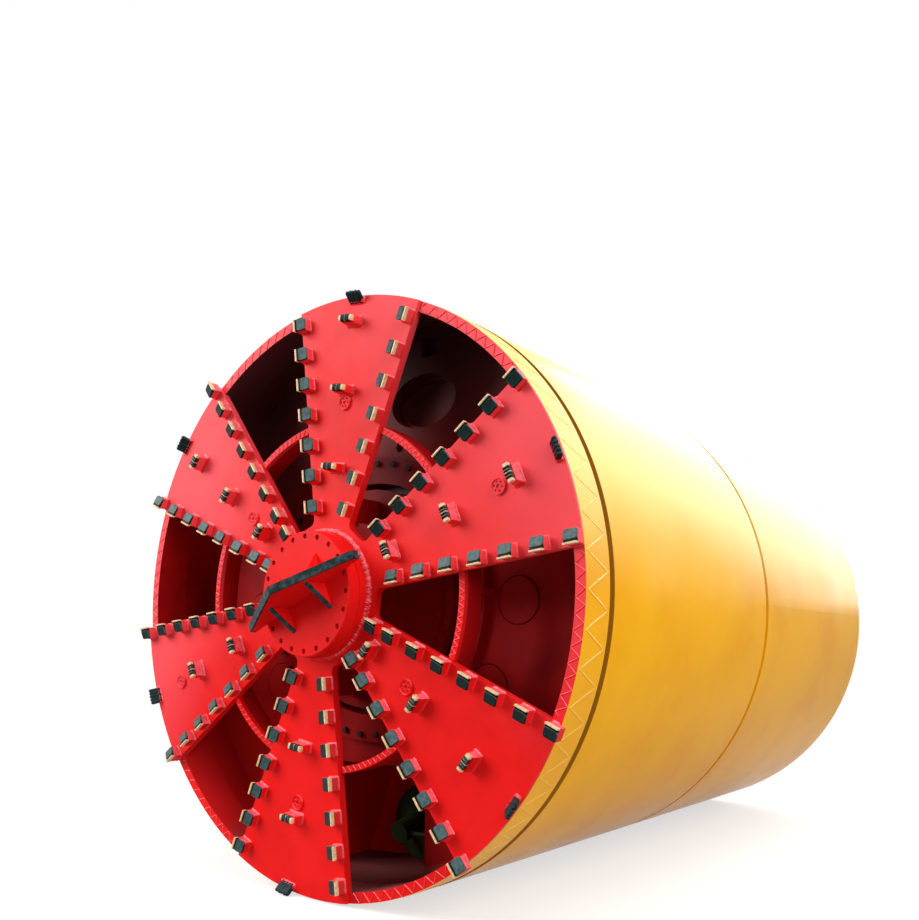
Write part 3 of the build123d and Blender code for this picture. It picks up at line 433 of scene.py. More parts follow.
def machine_yellow():
    """Yellow for the ribs, brackets and tubes inside the shields."""
    finish = Finish("machine_yellow")
    tone = finish.mix(finish.noise(420, 4).rise(0.35, 0.65), YELLOW, YELLOW_DEEP)
    scuffs = finish.noise(60, 6, roughness=0.7).rise(0.64, 0.75) * 0.4
    return finish.done(
        Base_Color=finish.mix(scuffs, tone, YELLOW_SCUFFED),
        Roughness=0.36 + finish.noise(160, 3) * 0.18,
        Normal=finish.bump(finish.noise(14, 2), 0.4),
        Specular_IOR_Level=0.12,
    )


def holder_paint():
    """Red of the tool holders, a little rough from the torch."""
    finish = Finish("holder_paint")
    # painted sheen: faces that look towards the bright sky turn pink
    wear_and_sheen = finish.skywards(0.45, 0.80) * (0.45 + finish.noise(30, 3).rise(0.35, 0.65) * 0.5)
    return finish.done(
        Base_Color=finish.mix(wear_and_sheen, red_tone(finish), RED_FACE_SHEEN),
        Roughness=0.34 + finish.noise(90, 3) * 0.2,
        Normal=finish.bump(finish.noise(9, 3), 0.8),
        Specular_IOR_Level=0.06,
    )


def bead_paint(name, colour, glint):
    """Painted weld metal, lumpy, with a painted glint where it looks up."""
    finish = Finish(name)
    # painted glint on faces that look towards the bright sky
    wear_and_sheen = finish.skywards(0.20, 0.75) * (0.4 + finish.noise(22, 3).rise(0.35, 0.6) * 0.6)
    tone = finish.mix(wear_and_sheen, colour, glint)
    return finish.done(
        Base_Color=tone,
        Roughness=0.32 + finish.noise(15, 3) * 0.2,
        Normal=finish.bump(finish.noise(7, 3), 1.0),
        Specular_IOR_Level=0.15,
    )


def hard_facing(name, dark, light, shine):
    """Weld-laid hard metal, rippled; paler where it looks up, a painted reflection of the bright
    sky, and nearly black below.
    """
    finish = Finish(name)
    grain = finish.noise(9, 4)
    # painted reflection of the bright sky on faces that look up
    sky_reflection = finish.skywards(0.10, 0.36) * (0.55 + finish.noise(26, 4).rise(0.35, 0.65) * 0.45)
    below = finish.mix(finish.noise(12, 4).rise(0.5, 0.75), dark, DULL_STEEL)
    tone = finish.mix(sky_reflection, below, light)
    return finish.done(
        Base_Color=tone,
        Roughness=0.24 + grain * 0.2,
        Normal=finish.bump(grain, 0.9),
        Specular_IOR_Level=shine,
    )


def cutter_facing():
    """Hard facing on the centre cutter; the gussets' upper slopes are painted over."""
    finish = Finish("cutter_facing")
    turn = radians(HEAD_TURN + CUTTER_TURN)
    aside = finish.up * float(np.sin(turn)) - finish.across * float(np.cos(turn))
    grain = finish.noise(12, 4)
    wear_and_sheen = finish.mix(finish.noise(40, 4).rise(0.35, 0.7), CUTTER_DARK, CUTTER_PALE)
    painted = aside.rise(CUTTER_T / 2 + 1, CUTTER_T / 2 + 3)
    return finish.done(
        Base_Color=finish.mix(painted, wear_and_sheen, red_tone(finish)),
        Roughness=0.26 + grain * 0.22,
        Normal=finish.bump(grain, 1.6),
        Specular_IOR_Level=0.10,
    )


def carbide():
    """Pale gold braze over carbide, darker in its pits."""
    finish = Finish("carbide")
    tone = finish.mix(finish.noise(16, 4).rise(0.35, 0.7), GOLD, GOLD_DEEP)
    return finish.done(
        Base_Color=tone,
        Roughness=0.42 + finish.noise(12, 3) * 0.2,
        Normal=finish.bump(finish.noise(8, 3), 1.0),
        Specular_IOR_Level=0.5,
    )


def bare_steel(name, colour, rough):
    """Machined or oiled steel with fine turning marks."""
    finish = Finish(name)
    marks = finish.noise(6, 3, place=finish.stretched(1, 8, 1))
    return finish.done(
        Base_Color=finish.mix(finish.noise(120, 4), colour, tuple(0.7 * c for c in colour)),
        Roughness=rough + marks * 0.15,
        Metallic=0.9,
        Normal=finish.bump(marks, 0.3),
    )


def drive_paint(name, front):
    """Grey-teal enamel of the motors and cylinders; near black in front of a station."""
    finish = Finish(name)
    tone = finish.mix(finish.noise(200, 4).rise(0.35, 0.65), TEAL, TEAL_DEEP)
    return finish.done(
        Base_Color=finish.mix(finish.station.rise(front + 5, front), tone, SOOT_AND_SHADE),
        Roughness=0.36 + finish.noise(80, 3) * 0.15,
        Normal=finish.bump(finish.noise(10, 2), 0.3),
        Specular_IOR_Level=0.1,
    )


RED_PAINT = red_paint()
CHAMBER_PAINT = chamber_paint()
FLANGE_PAINT = stud_paint()
HULL_PAINT = hull_paint()
MACHINE_YELLOW = machine_yellow()
RIM_PAINT = rim_paint()
HOLDER_PAINT = holder_paint()
# the second colour of each bead is its painted glint
RED_BEAD = bead_paint("red_bead", (0.80, 0.014, 0.014), (1.0, 0.22, 0.26))
YELLOW_BEAD = bead_paint("yellow_bead", (0.95, 0.46, 0.02), (1.0, 0.82, 0.34))
HARD_FACING = hard_facing("hard_facing", (0.003, 0.010, 0.010), (0.050, 0.070, 0.072), 0.10)
BLADE_FACING = hard_facing("blade_facing", (0.002, 0.014, 0.012), (0.085, 0.140, 0.143), 0.08)
GAUGE_FACING = hard_facing("gauge_facing", (0.002, 0.010, 0.010), (0.022, 0.042, 0.044), 0.06)
# near black: painted shade in the groove between plate and tip
BRAZE_GROOVE_SHADE = hard_facing("braze", (0.002, 0.003, 0.002), (0.014, 0.018, 0.010), 0.05)
AUGER = hard_facing("auger", (0.026, 0.034, 0.010), (0.045, 0.055, 0.020), 0.03)
HOPPER_PAINT = hopper_paint()
CARBIDE = carbide()
CUTTER_FACING = cutter_facing()
STEEL = bare_steel("machined_steel", (0.50, 0.51, 0.52), 0.28)
CHROME = bare_steel("rod_chrome", (0.72, 0.73, 0.74), 0.10)
SEAL = bare_steel("seal_steel", (0.10, 0.085, 0.07), 0.45)
DRIVE_PAINT = drive_paint("drive_paint", 0)
HOUSING_PAINT = drive_paint("housing_paint", BULKHEAD_REAR)

FINISHES = {
    "head_rim": RIM_PAINT,
    "front_shell": HULL_PAINT,
    "rear_shell": HULL_PAINT,
    "tail_shell": HULL_PAINT,
    "spigot": HULL_PAINT,
    "bulkhead": CHAMBER_PAINT,
    "bulkhead_covers": CHAMBER_PAINT,
    "fixed_mixing_bars": CHAMBER_PAINT,
    "screw_hopper": HOPPER_PAINT,
    "screw_auger": AUGER,
    "drive_housing": HOUSING_PAINT,
    "man_door": CHAMBER_PAINT,
    "drive_drum": CHAMBER_PAINT,
    "drive_flange": FLANGE_PAINT,
    "cutter_facing": CUTTER_FACING,
}
SLOT_FINISHES = {
    "red_paint": RED_PAINT,
    "yellow_paint": MACHINE_YELLOW,
    "hard_facing": HARD_FACING,
    "carbide": CARBIDE,
    "machined_steel": STEEL,
    "rod_chrome": CHROME,
    "drive_paint": DRIVE_PAINT,
    "seal_steel": SEAL,
}
node_slots = {part["node"]: part["material_slot"] for part in frame["record"]["subparts"]}
for name, node in nodes.items():
    node.data.materials.clear()
    node.data.materials.append(FINISHES.get(name, SLOT_FINISHES[node_slots[name]]))


# ---- surfaces -----------------------------------------------------------
def on_machine(across, station, up):
    """Machine coordinates gathered into one array of points."""
    return np.stack(np.broadcast_arrays(across, station, up), axis=-1).astype(float)


def about_axis(radius, clock, station):
    """Points given by radius, clock angle and station."""
    turn = np.radians(clock)
    return on_machine(radius * np.sin(turn), station, radius * np.cos(turn))


def grid(points, wrap_rows=False, wrap_columns=False):
    """A surface from a grid of points; a wrapped side closes on itself.

    Each face joins (row, column) to its next row and next column.
    """
    rows, columns = points.shape[:2]
    row = np.arange(rows if wrap_rows else rows - 1)[:, None]
    column = np.arange(columns if wrap_columns else columns - 1)[None, :]
    next_row, next_column = (row + 1) % rows, (column + 1) % columns
    corners = np.broadcast_arrays(
        row * columns + column,
        row * columns + next_column,
        next_row * columns + next_column,
        next_row * columns + column,
    )
    return points.reshape(-1, 3), np.stack(corners, axis=-1).reshape(-1, 4)


def copies(shape, turns, shifts):
    """One shape at several places: each copy is turned by its 3 x 3 matrix, then shifted."""
    points, faces = shape
    many = np.einsum("kij,nj->kni", turns, points) + shifts[:, None, :]
    steps = np.arange(len(turns))[:, None, None] * len(points)
    return many.reshape(-1, 3), (faces[None] + steps).reshape(-1, 4)


def together(*shapes):
    """Several shapes as one."""
    counts = np.cumsum([0] + [len(points) for points, _ in shapes])
    points = np.concatenate([points for points, _ in shapes])
    return points, np.concatenate([faces + step for (_, faces), step in zip(shapes, counts)])


# the direction of the bright part of the sky, which the painted sheens, glints and sky reflections
# follow
SKYWARDS = np.array([0.45, -0.25, 0.86])


def held_in(shape, radius):
    """Draws in whatever lies farther from the axis than a radius.

    Both coordinates across the axis are scaled by radius / distance where that is under 1.
    """
    points, faces = shape
    share = np.minimum(1.0, radius / np.hypot(points[:, 0], points[:, 2]))
    return points * np.stack([share, np.ones_like(share), share], axis=1), faces


def piece(name, shape, body, finish, replaced=(), crease=40.0):
    """Makes one object of the finished model, its doubled poles and seams merged.

    Each face keeps the dot product of its normal and SKYWARDS, for the finishes.
    """
    points, faces = shape
    mesh = bpy.data.meshes.new(name)
    place = points * MM + np.array([AXIS_X, FRONT_Y, AXIS_Z])
    mesh.from_pydata(place.tolist(), [], faces.tolist())
    work = bmesh.new()
    work.from_mesh(mesh)
    bmesh.ops.remove_doubles(work, verts=work.verts, dist=2e-5)
    bmesh.ops.recalc_face_normals(work, faces=work.faces)
    work.to_mesh(mesh)
    work.free()
    mesh.polygons.foreach_set("use_smooth", np.ones(len(mesh.polygons), dtype=bool))
    mesh.set_sharp_from_angle(angle=radians(crease))
    mesh.materials.append(finish)
    normals = np.empty(3 * len(mesh.polygons))
    mesh.polygons.foreach_get("normal", normals)
    facing = mesh.attributes.new("skywards", "FLOAT", "FACE")
    facing.data.foreach_set("value", normals.reshape(-1, 3) @ SKYWARDS)
    made = bpy.data.objects.new(name, mesh)
    bpy.context.scene.collection.objects.link(made)
    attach(made, body)
    if replaced:
        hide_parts(*replaced)
    return made


def lumps(along, pitch, seed):
    """Smooth unevenness between -1 and 1: three sines whose lengths don't match."""
    shift = np.random.default_rng(seed).uniform(0, TURN, 3)
    waves = [np.sin(TURN * along / (pitch * ratio) + s) for ratio, s in zip((1, 1.7, 0.61), shift)]
    return sum(waves) / 3


def bead(path, side, rise, width, height, closed=False, seed=1):
    """A weld bead along a path.

    At angle a its outline is side * width/2 * cos a + rise * height * max(sin a, -0.3), so it
    is a low half-round whose foot lies a little inside the surface; its size wavers by an eighth.
    """
    steps = np.linalg.norm(np.diff(path, axis=0), axis=1)
    length = np.concatenate([[0], np.cumsum(steps)])
    size = 1 + 0.12 * lumps(length, 3 * width, seed)
    if not closed:
        size = size * np.minimum(1, np.minimum(length, length[-1] - length) / width + 0.02)
    a = np.arange(6) * TURN / 6 + TURN / 12
    out = width / 2 * np.cos(a)[None, :, None] * side[:, None, :]
    up = height * np.maximum(np.sin(a), -0.3)[None, :, None] * rise[:, None, :]
    points = path[:, None, :] + (out + up) * size[:, None, None]
    if not closed:
        points[[0, -1]] = path[[0, -1], None, :]
    return grid(points, wrap_rows=closed, wrap_columns=True)


def across_path(path, rise, closed=False):
    """Unit directions across a path, in its surface."""
    if closed:
        along = np.roll(path, -1, axis=0) - np.roll(path, 1, axis=0)
    else:
        along = np.gradient(path, axis=0)
    side = np.cross(along, rise)
    return side / np.linalg.norm(side, axis=1, keepdims=True)


def zigzag(teeth, per_tooth):
    """Positions 0..1 along a bead and its swing, a triangle wave from -1 to 1."""
    share = np.linspace(0, 1, int(teeth * per_tooth) + 1)
    return share, np.arcsin(np.sin(TURN * teeth * share) * 0.995) * 2 / np.pi


FORWARD = np.array([0.0, -1.0, 0.0])


def spoke_half(radius):
    """Half a spoke's width, which grows evenly with the radius."""
    return SPOKE_HALF_AT_AXIS + SPOKE_TAPER * radius


def gap_beads(middle_r, swing, teeth, width, height, seed):
    """A zigzag bead on a ring's front face in each gap between the spokes."""
    covered = degrees(np.arcsin(spoke_half(middle_r) / middle_r))
    half = 180 / SPOKES - covered - 0.15
    share, wave = zigzag(teeth, STEPS_PER_TOOTH)
    parts = []
    for gap in range(SPOKES):
        clock = HEAD_TURN + (gap + 0.5) * 360 / SPOKES + half * (2 * share - 1)
        path = about_axis(middle_r + swing * wave, clock, 0.0)
        rise = np.broadcast_to(FORWARD, path.shape)
        parts.append(bead(path, across_path(path, rise), rise, width, height, seed=seed + gap))
    return together(*parts)


def band_bead():
    """One zigzag bead round the rim's outside, from one edge to the other."""
    share, wave = zigzag(BAND_TEETH, STEPS_PER_TOOTH)
    share, wave = share[:-1], wave[:-1]
    clock = 360 * share
    path = about_axis(RIM_R, clock, RIM_DEPTH / 2 + BAND_SWING * wave)
    rise = about_axis(1.0, clock, 0.0)
    return bead(path, across_path(path, rise, closed=True), rise, 13.0, 2.6, closed=True, seed=30)


def ring_weld(radius, station, leg, seed=5):
    """A fillet weld round a cylinder's foot on a flat face.

    Its outline runs from the face to the cylinder in a bulge of size leg; along the ring
    and round the bulge it swells and sinks in clumps a little narrower than the bulge.
    """
    steps = 720
    clock = np.linspace(0, 360, steps + 1)[:-1]
    a = np.linspace(0, TURN / 4, 7)
    around = clock * radius * radians(1)
    clumps = lumps(around, 0.9 * leg, seed)[:, None] * np.cos(2 * a + 0.6)
    swell = 1 + 0.22 * clumps + 0.16 * lumps(around, 3.1 * leg, seed + 1)[:, None]
    out = radius + leg * np.cos(a) * swell
    ahead = station - leg * np.sin(a) * swell
    outline_r = np.concatenate([out, np.full((steps, 1), radius - 2.0)], axis=1)
    outline_y = np.concatenate([ahead, np.full((steps, 1), station + 2.0)], axis=1)
    return grid(about_axis(outline_r, clock[:, None], outline_y), wrap_rows=True, wrap_columns=True)


# ---- tools --------------------------------------------------------------
def spoke_frames(spoke, radius, side=0.0, lean=0.0, flip=False):
    """Turns and shifts of pieces that stand on the spokes' face.

    Their own x runs clockwise, y outwards and z forwards; side shifts them along x before
    they lean clockwise by an angle, and flip turns them half round.
    """
    spoke, radius, side, lean = np.broadcast_arrays(spoke, radius, side, lean)
    turn = np.radians(HEAD_TURN + spoke * 360 / SPOKES)
    outwards = on_machine(np.sin(turn), 0, np.cos(turn))
    clockwise = on_machine(np.cos(turn), 0, -np.sin(turn))
    shift = outwards * radius[..., None] + clockwise * side[..., None] + FORWARD * -PLATE_FACE
    turn = turn + np.radians(lean) + np.where(flip, np.pi, 0.0)
    outwards = on_machine(np.sin(turn), 0, np.cos(turn))
    clockwise = on_machine(np.cos(turn), 0, -np.sin(turn))
    forwards = np.broadcast_to(FORWARD, outwards.shape)
    return np.stack([clockwise, outwards, forwards], axis=-1), shift


def rounded_loop(half_x, half_y, corner, per_corner):
    """A rectangle's outline: at each corner, its centre plus a quarter circle about it."""
    a = np.linspace(0, TURN / 4, per_corner)
    a = np.concatenate([a + quarter * TURN / 4 for quarter in range(4)])
    centre_x = np.repeat([1, -1, -1, 1], per_corner) * (half_x - corner)
    centre_y = np.repeat([1, 1, -1, -1], per_corner) * (half_y - corner)
    return centre_x + corner * np.cos(a), centre_y + corner * np.sin(a)


def pad(levels, half_x, half_y, corner, per_corner, middle=(0.0, 0.0)):
    """A block of rounded plan built from levels of (growth, height function or number).

    Each level is the outline grown by so many millimetres; the first and last close to
    a point, so the block has no holes.
    """
    loops = []
    for grow, height in levels:
        x, y = rounded_loop(half_x + grow, half_y + grow, max(corner + grow, 0.5), per_corner)
        x, y = x + middle[0], y + middle[1]
        loops.append(on_machine(x, y, height(x, y) if callable(height) else height))
    points = np.stack(loops)
    centre = points.mean(axis=1, keepdims=True)
    first, last = (np.broadcast_to(centre[k], points[0].shape)[None] for k in (0, -1))
    return grid(np.concatenate([first, points, last]), wrap_columns=True)


def scraper_height(x):
    """The blade's face rises evenly from the heel to the cutting edge."""
    return SCRAPER_HEEL + (SCRAPER_EDGE - SCRAPER_HEEL) * (x / SCRAPER_SIDE + 0.5)


def scraper_places():
    """Spoke, radius and side of every scraper; opposite spokes share a row."""
    rows = []
    for spoke in range(SPOKES):
        first, extra = SCRAPER_ROWS[spoke % len(SCRAPER_ROWS)]
        radii = [first + SCRAPER_PITCH * n for n in range(SCRAPERS)]
        if extra is not None:
            radii.append(extra)
        rows += [(spoke, radius, side) for radius in radii for side in (-1, 1)]
    return np.array(rows).T


def scraper_frames():
    """Turns and shifts of the scrapers, which sit flush with the spokes' leaning edges."""
    spoke, radius, side = scraper_places()
    inset = side * (spoke_half(radius) - HALF)
    return spoke_frames(spoke, radius, inset, side * SPOKE_LEAN, side < 0)


HALF = SCRAPER_SIDE / 2
SCRAPER_FRAMES = scraper_frames()
TIP_START = HALF - TIP_W
TIP_FOOT = SCRAPER_EDGE - TIP_T


def scraper_holder():
    """A block with a sloping seat under the blade."""
    seat = lambda x, y: np.where(x > TIP_START - 1, TIP_FOOT, scraper_height(x) - BLADE_T)
    return pad([(0.0, -1.0), (0.0, seat)], HALF - 3, HALF - 3, 2.0, 2)


def foot_weld(half_x, half_y, leg):
    """A fillet weld round a block's foot, fuller on its long runs than at its corners."""
    fuller = lambda x, y: leg * (0.75 + 0.25 * np.sin(0.19 * x + 0.23 * y))
    levels = [(leg, -1.0), (0.9 * leg, 0.4 * leg), (0.35 * leg, fuller), (-1.0, leg)]
    return pad(levels, half_x, half_y, 2.0, 3)


def scraper_blade():
    """A plate along the slope, its corners rounded and its top edges eased round by wear."""
    raised = lambda drop: lambda x, y: scraper_height(x) - drop
    edge = TIP_START - BRAZE_W
    half_x, middle_x = (edge + HALF) / 2, (edge - HALF) / 2
    levels = [(0.0, raised(BLADE_T)), (0.0, raised(2.5)), (-2.5, raised(0.0)), (-9.0, raised(0.4))]
    return pad(levels, half_x, HALF, 11.0, 4, middle=(middle_x, 0.0))


def scraper_braze():
    """The braze between plate and tip, a little lower than both and uneven; its near-black finish
    is painted shade in the groove.
    """
    uneven = lambda x, y: scraper_height(x) - 4.0 - 1.5 * np.sin(0.35 * y + 0.2 * x)
    start, end = TIP_START - BRAZE_W - 3, TIP_START + 1
    levels = [(0.0, TIP_FOOT), (0.0, lambda x, y: uneven(x, y) - 2), (-1.5, uneven)]
    return pad(levels, (end - start) / 2, HALF - 1.0, 1.5, 4, middle=((start + end) / 2, 0.0))


def scraper_tip():
    """A strip of carbide with its ends and top edges eased round by wear."""
    levels = [(0.0, TIP_FOOT), (0.0, SCRAPER_EDGE - 3.0), (-1.5, SCRAPER_EDGE)]
    return pad(levels, TIP_W / 2, HALF, 2.0, 2, middle=(HALF - TIP_W / 2, 0.0))


RIPPERS = np.array(
    [(spoke, radius) for spoke, radii in enumerate(RIPPER_RADII) for radius in radii]
).T
RIPPER_FRAMES = spoke_frames(*RIPPERS)
RIPPER_FOOT = (RIPPER_LONG / 2 - 5, RIPPER_WIDE / 2 + 6)


def ripper_holder():
    """A block that tapers towards the bar that it carries."""
    return pad([(0.0, -1.0), (-5.0, RIPPER_RISE)], *RIPPER_FOOT, 5.0, 3)


def flattened(value, power):
    """A sine or cosine pushed outwards: its sign times its size to a power below 1."""
    return np.sign(value) * np.abs(value) ** power


def ripper_tooth():
    """A bar whose ends swell round: half-width and height follow a flattened circle."""
    half = RIPPER_LONG / 2
    t = np.linspace(-1, 1, 17)
    swell = (1 - np.abs(t) ** 12) ** 0.5 * (0.90 + 0.10 * np.cos(TURN * t))
    a = np.linspace(0, TURN, 17)[:-1]
    y = RIPPER_WIDE / 2 * flattened(np.cos(a), 0.4)[None, :] * swell[:, None]
    z = RIPPER_TOOTH / 2 * flattened(np.sin(a), 0.4)[None, :] * (0.25 + 0.75 * swell)[:, None]
    z = z + RIPPER_RISE + RIPPER_TOOTH / 2
    points = on_machine(half * t[:, None], y, z)
    points[[0, -1]] = points[[0, -1]].mean(axis=1, keepdims=True)
    return grid(points, wrap_columns=True)


def ripper_facing():
    """Hard facing over the bar's middle, in four ridges.

    Between the ridges it dips 2 mm into the bar, whose braze shows there; on their crests
    it stands 7 mm off the bar.
    """
    x = np.linspace(-RIPPER_MIDDLE / 2, RIPPER_MIDDLE / 2, 41)
    crest = 0.5 - 0.5 * np.cos(TURN * 4 * (x / RIPPER_MIDDLE + 0.5))
    stand = 9.0 * crest ** 0.7 - 2.0
    a = np.linspace(0, TURN, 13)[:-1]
    y = flattened(np.cos(a), 0.5)[None, :] * (RIPPER_WIDE / 2 + 0.35 * stand[:, None])
    top = np.maximum(np.sin(a), 0)[None, :] > 0.1
    z = RIPPER_RISE + RIPPER_TOOTH / 2 + flattened(np.sin(a), 0.5)[None, :] * (
        RIPPER_TOOTH / 2 + np.where(top, stand[:, None], -1.0)
    )
    points = on_machine(x[:, None], y, z)
    points = np.concatenate([points[:1], points, points[-1:]])
    points[[0, -1]] = points[[0, -1]].mean(axis=1, keepdims=True)
    return grid(points, wrap_columns=True)


def nozzle():
    """A disc with a raised rim, a bore in the middle and six small ports about it.

    Height over the disc is a sum: a plateau, a rim near the edge, and holes that fall
    away inside each port's radius.
    """
    r = np.array(
        [0.0, 8, 11.5, 12.5, 16, 19, 21, 23, 25, 27, 29, 31, 33, 35, 38, 40, 44, NOZZLE_R, NOZZLE_R]
    )
    a = np.linspace(0, TURN, 73)[:-1]
    x, y = r[:, None] * np.cos(a), r[:, None] * np.sin(a)
    rim = np.where(r > NOZZLE_R - NOZZLE_LIP, NOZZLE_T - 1.0, NOZZLE_T - 6.0)[:, None]
    z = np.broadcast_to(rim, x.shape).copy()
    z[-1] = -1.0
    ports = TURN * np.arange(NOZZLE_PORTS) / NOZZLE_PORTS
    port_x, port_y = NOZZLE_PORT_CIRCLE_R * np.cos(ports), NOZZLE_PORT_CIRCLE_R * np.sin(ports)
    away = np.hypot(x[..., None] - port_x, y[..., None] - port_y).min(axis=-1)
    z[(away < NOZZLE_PORT_R) | (np.hypot(x, y) < NOZZLE_BORE)] = 1.0
    points = on_machine(x, y, z)
    foot = np.broadcast_to(points[-1].mean(axis=0), points[-1].shape)[None]
    return grid(np.concatenate([points, foot]), wrap_columns=True)


def gauge_tooth():
    """A slanting lump of hard facing, in five ridges: its outer edge leads, its foot is sunk.

    Its section is a flat rounded bar that leans half a right angle; along the lump it
    swells on each ridge and shrinks towards both ends.
    """
    a = np.linspace(0, TURN, 25)[:-1]
    high = GAUGE_BAR[0] * flattened(np.cos(a), 0.45)
    thick = GAUGE_BAR[1] * flattened(np.sin(a), 0.45)
    slope = 0.5 ** 0.5
    reach = slope * (high + thick).max()
    t = np.linspace(-1, 1, 41)[:, None]
    ridge = (0.5 + 0.5 * np.cos(TURN * 2.5 * t)) ** 0.6
    ends = (1 - np.abs(t) ** 8) ** 0.5
    wander = 1 + 0.05 * np.sin(9.0 * t + 0.21 * high + 0.3 * thick)
    size = np.minimum((0.84 + 0.14 * ridge) * (0.75 + 0.25 * ends) * wander, 1.0)
    r = GAUGE_R - reach + slope * (high + thick) * size
    y = GAUGE_FRONT + reach - slope * (high - thick) * size
    bowed = 0.97 + 0.025 * flattened(np.sin(a + 0.6), 0.45)
    clock = degrees(GAUGE_LONG / 2 / GAUGE_R) * t * bowed
    points = about_axis(r, clock, y)
    points[[0, -1]] = points[[0, -1]].mean(axis=1, keepdims=True)
    return grid(points, wrap_columns=True)


def set_on_end(shape):
    """Stands a pad on the spoke's outer end: its y becomes the radius, its z runs forwards."""
    points, faces = shape
    middle_r = (GAUGE_HOLDER_R + GAUGE_FOOT_R) / 2
    return on_machine(points[:, 0], PLATE_FACE - points[:, 2], points[:, 1] + middle_r), faces


GAUGE_HOLDER_HALF = (GAUGE_HOLDER_LONG / 2, (GAUGE_FOOT_R - GAUGE_HOLDER_R) / 2)


def gauge_holder():
    """A block on the spoke's end, up to the hard facing."""
    rise = PLATE_FACE - GAUGE_HOLDER_FRONT
    return set_on_end(pad([(0.0, -1.0), (0.0, rise)], *GAUGE_HOLDER_HALF, 3.0, 3))


def about_spokes(shape):
    """A piece made at the top, turned to every spoke's clock angle."""
    turn = np.radians(HEAD_TURN + np.arange(SPOKES) * 360 / SPOKES)
    zero, one = np.zeros(SPOKES), np.ones(SPOKES)
    sine, cosine = np.sin(turn), np.cos(turn)
    rows = [[cosine, zero, sine], [zero, one, zero], [-sine, zero, cosine]]
    turns = np.moveaxis(np.array(rows), 2, 0)
    return copies(shape, turns, np.zeros((SPOKES, 3)))


def hub_bolts():
    """Round bolt heads deep in the cover's recesses, each with a domed top."""
    r = np.array([0.0, 4.0, 10.0, 12.5, 12.5, 0.0])
    y = np.array([10.0, 10.0, 10.8, 13.0, 24.0, 24.0]) + HUB_FACE
    a = np.linspace(0, TURN, 13)[:-1]
    rings = on_machine(r[:, None] * np.cos(a), y[:, None], r[:, None] * np.sin(a))
    head = grid(rings, wrap_columns=True)
    clock = HEAD_TURN + (np.arange(HUB_BOLTS) + 0.5) * 360 / HUB_BOLTS
    shifts = about_axis(HUB_CIRCLE_R, clock, 0.0)
    return copies(head, np.broadcast_to(np.eye(3), (HUB_BOLTS, 3, 3)), shifts)


HEAD = "cutterhead"
gauge_weld = set_on_end(foot_weld(*GAUGE_HOLDER_HALF, 11.0))
welds = together(
    copies(foot_weld(HALF - 3, HALF - 3, 8.0), *SCRAPER_FRAMES),
    copies(foot_weld(*RIPPER_FOOT, 11.0), *RIPPER_FRAMES),
    about_spokes(gauge_weld),
)
piece("scraper_holder_blocks", copies(scraper_holder(), *SCRAPER_FRAMES), HEAD, HOLDER_PAINT,
      ["scraper_holders"])
piece("scraper_plates", copies(scraper_blade(), *SCRAPER_FRAMES), HEAD, BLADE_FACING,
      ["scraper_blades"], crease=35)
piece("scraper_braze", copies(scraper_braze(), *SCRAPER_FRAMES), HEAD, BRAZE_GROOVE_SHADE)
piece("scraper_edges", copies(scraper_tip(), *SCRAPER_FRAMES), HEAD, CARBIDE,
      ["scraper_tips"])
piece("ripper_blocks", copies(ripper_holder(), *RIPPER_FRAMES), HEAD, HOLDER_PAINT,
      ["ripper_holders"])
piece("ripper_bars", copies(ripper_tooth(), *RIPPER_FRAMES), HEAD, CARBIDE,
      ["ripper_teeth"])
piece("ripper_saddles", copies(ripper_facing(), *RIPPER_FRAMES), HEAD, HARD_FACING,
      ["ripper_facings"])
piece("foam_discs", copies(nozzle(), *spoke_frames(np.arange(SPOKES), np.array(NOZZLE_RADII))),
      HEAD, HOLDER_PAINT, ["foam_nozzles"], crease=30)
piece("gauge_cutters", about_spokes(gauge_tooth()), HEAD, GAUGE_FACING,
      ["gauge_teeth"])
piece("gauge_blocks", about_spokes(gauge_holder()), HEAD, HOLDER_PAINT,
      ["gauge_holders"])
piece("foot_welds", held_in(welds, HULL_R - 5), HEAD, RED_BEAD, crease=60)
# the bolt heads take the chamber's shaded red: painted shade deep in their recesses
piece("hub_bolt_heads", hub_bolts(), HEAD, CHAMBER_PAINT)
piece("hub_weld", ring_weld(HUB_BASE_R, PLATE_FACE, 22.0), HEAD, RED_BEAD)
piece("rim_face_bead", gap_beads((RIM_R + RIM_IN_R) / 2, 30.0, 10, 8.0, 3.5, 40),
      HEAD, RED_BEAD)
piece("ring_face_bead", gap_beads((RING_OUT_R + RING_IN_R) / 2, 18.5, 11, 7.0, 3.5, 50),
      HEAD, RED_BEAD)
piece("rim_band_bead", band_bead(), HEAD, YELLOW_BEAD)


# ---- camera, lights and floor -------------------------------------------
def machine_point(x, station, up):
    """A place on the machine's drawing, in metres of the shared frame."""
    return Vector((AXIS_X + x * MM, FRONT_Y + station * MM, AXIS_Z + up * MM))


camera_data = bpy.data.cameras.new("camera")
camera_data.lens = 34.72
camera_data.sensor_width = 36.0
camera_data.shift_x, camera_data.shift_y = -0.0039, 0.1455
camera_data.clip_end = 200.0
camera = bpy.data.objects.new("camera", camera_data)
forward = Vector((-0.6094, 0.7896, 0.0722)).normalized()
right = Vector((0.7917, 0.6110, 0.0)).normalized()
above = right.cross(forward)
camera.matrix_world = Matrix.Translation(machine_point(3962.4, -3758.3, -383.4)) @ Matrix(
    (right, above, -forward)
).transposed().to_4x4()
bpy.context.scene.collection.objects.link(camera)
bpy.context.scene.camera = camera


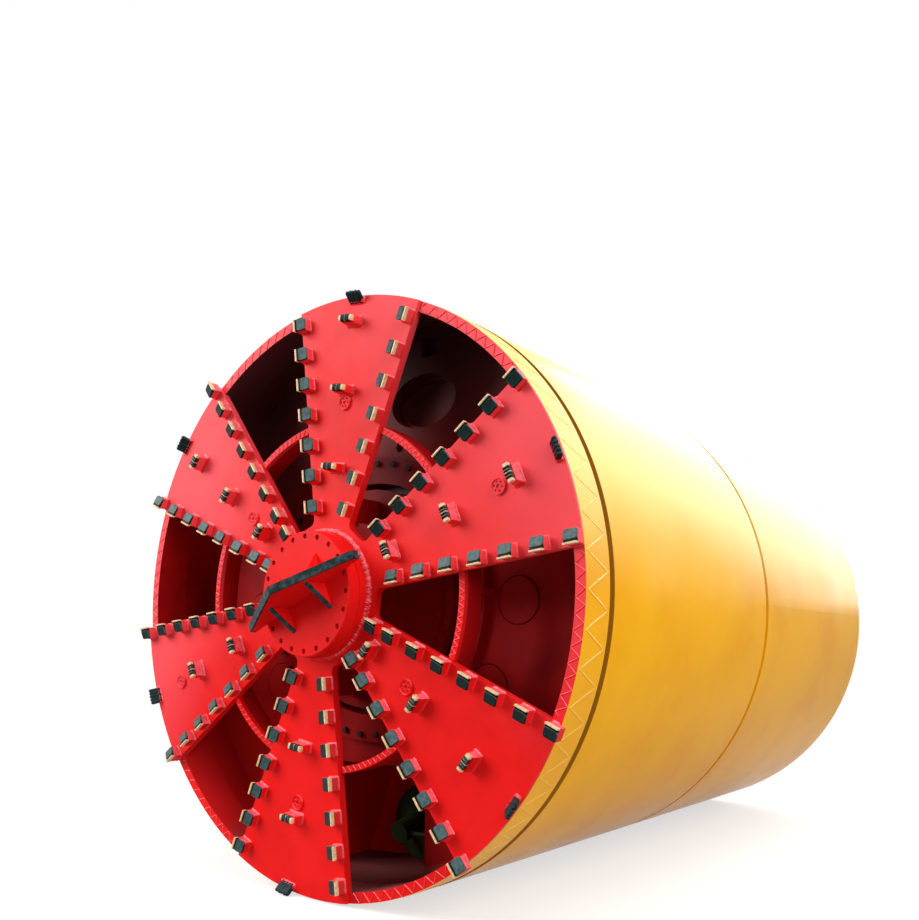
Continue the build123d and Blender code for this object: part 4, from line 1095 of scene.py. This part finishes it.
def lamp(name, towards, distance, size, power, colour=(1, 1, 1)):
    """A square soft box in a direction from the machine's middle, aimed back at it."""
    data = bpy.data.lights.new(name, "AREA")
    data.size, data.energy, data.color = size, power, colour
    made = bpy.data.objects.new(name, data)
    towards = Vector(towards).normalized()
    turned = towards.to_track_quat("Z", "Y").to_matrix().to_4x4()
    place = machine_point(0, MIDDLE_STATION, 0) + towards * distance
    made.matrix_world = Matrix.Translation(place) @ turned
    bpy.context.scene.collection.objects.link(made)


lamp("key", (-0.606, -0.673, 0.423), 13.0, 8.0, 1780)
lamp("fill", (0.90, -0.30, 0.42), 13.0, 8.0, 980)
lamp("top", (0.40, -0.10, 1.0), 12.0, 9.0, 700)
lamp("back", (0.05, 0.93, 0.36), 14.0, 9.0, 1250)


def in_view(shading):
    """1 for what the camera, a gloss or a glass shows, 0 for light on its way to the object."""
    camera_ray, glossy, through = (
        shading.node("ShaderNodeLightPath", output=kind)
        for kind in ("Is Camera Ray", "Is Glossy Ray", "Is Transmission Ray")
    )
    return camera_ray.larger(glossy).larger(through)


def sky():
    """Soft even light; the camera, gloss and glass see plain white."""
    world = bpy.data.worlds.new("sky")
    world.use_nodes = True
    world.node_tree.nodes.clear()
    air = Shading(world.node_tree)
    seen = in_view(air)
    daylight = {"Color": (0.90, 0.95, 1.0, 1.0), "Strength": 0.28}
    soft = air.node("ShaderNodeBackground", None, daylight)
    white = air.node("ShaderNodeBackground", None, {"Color": (*WHITE, 1.0)})
    chosen = air.node("ShaderNodeMixShader", None, {0: seen, 1: soft, 2: white})
    air.node("ShaderNodeOutputWorld", None, {"Surface": chosen}, output=None)
    bpy.context.scene.world = world


sky()
bpy.context.scene.view_settings.view_transform = "Standard"


def floor():
    """A wide pale floor that brightens to the backdrop's white away from the machine."""
    half = 80.0
    mesh = bpy.data.meshes.new("floor")
    corners = [(-half, -half, 0), (half, -half, 0), (half, half, 0), (-half, half, 0)]
    mesh.from_pydata(corners, [], [(0, 1, 2, 3)])
    finish = Finish("floor")
    distance = (finish.x * finish.x + finish.y * finish.y) ** 0.5
    far = distance.rise(3.0, 9.0)
    plain = finish.mix(finish.noise(900, 4), FLOOR_GREY, FLOOR_GREY_DEEP)
    mesh.materials.append(
        finish.done(
            Base_Color=finish.mix(far, plain, BLACK),
            Emission_Color=finish.mix(far, FLOOR_GLOW, WHITE),
            Emission_Strength=in_view(finish),
            Roughness=0.9,
            Specular_IOR_Level=0.0,
        )
    )
    made = bpy.data.objects.new("floor", mesh)
    bpy.context.scene.collection.objects.link(made)


floor()
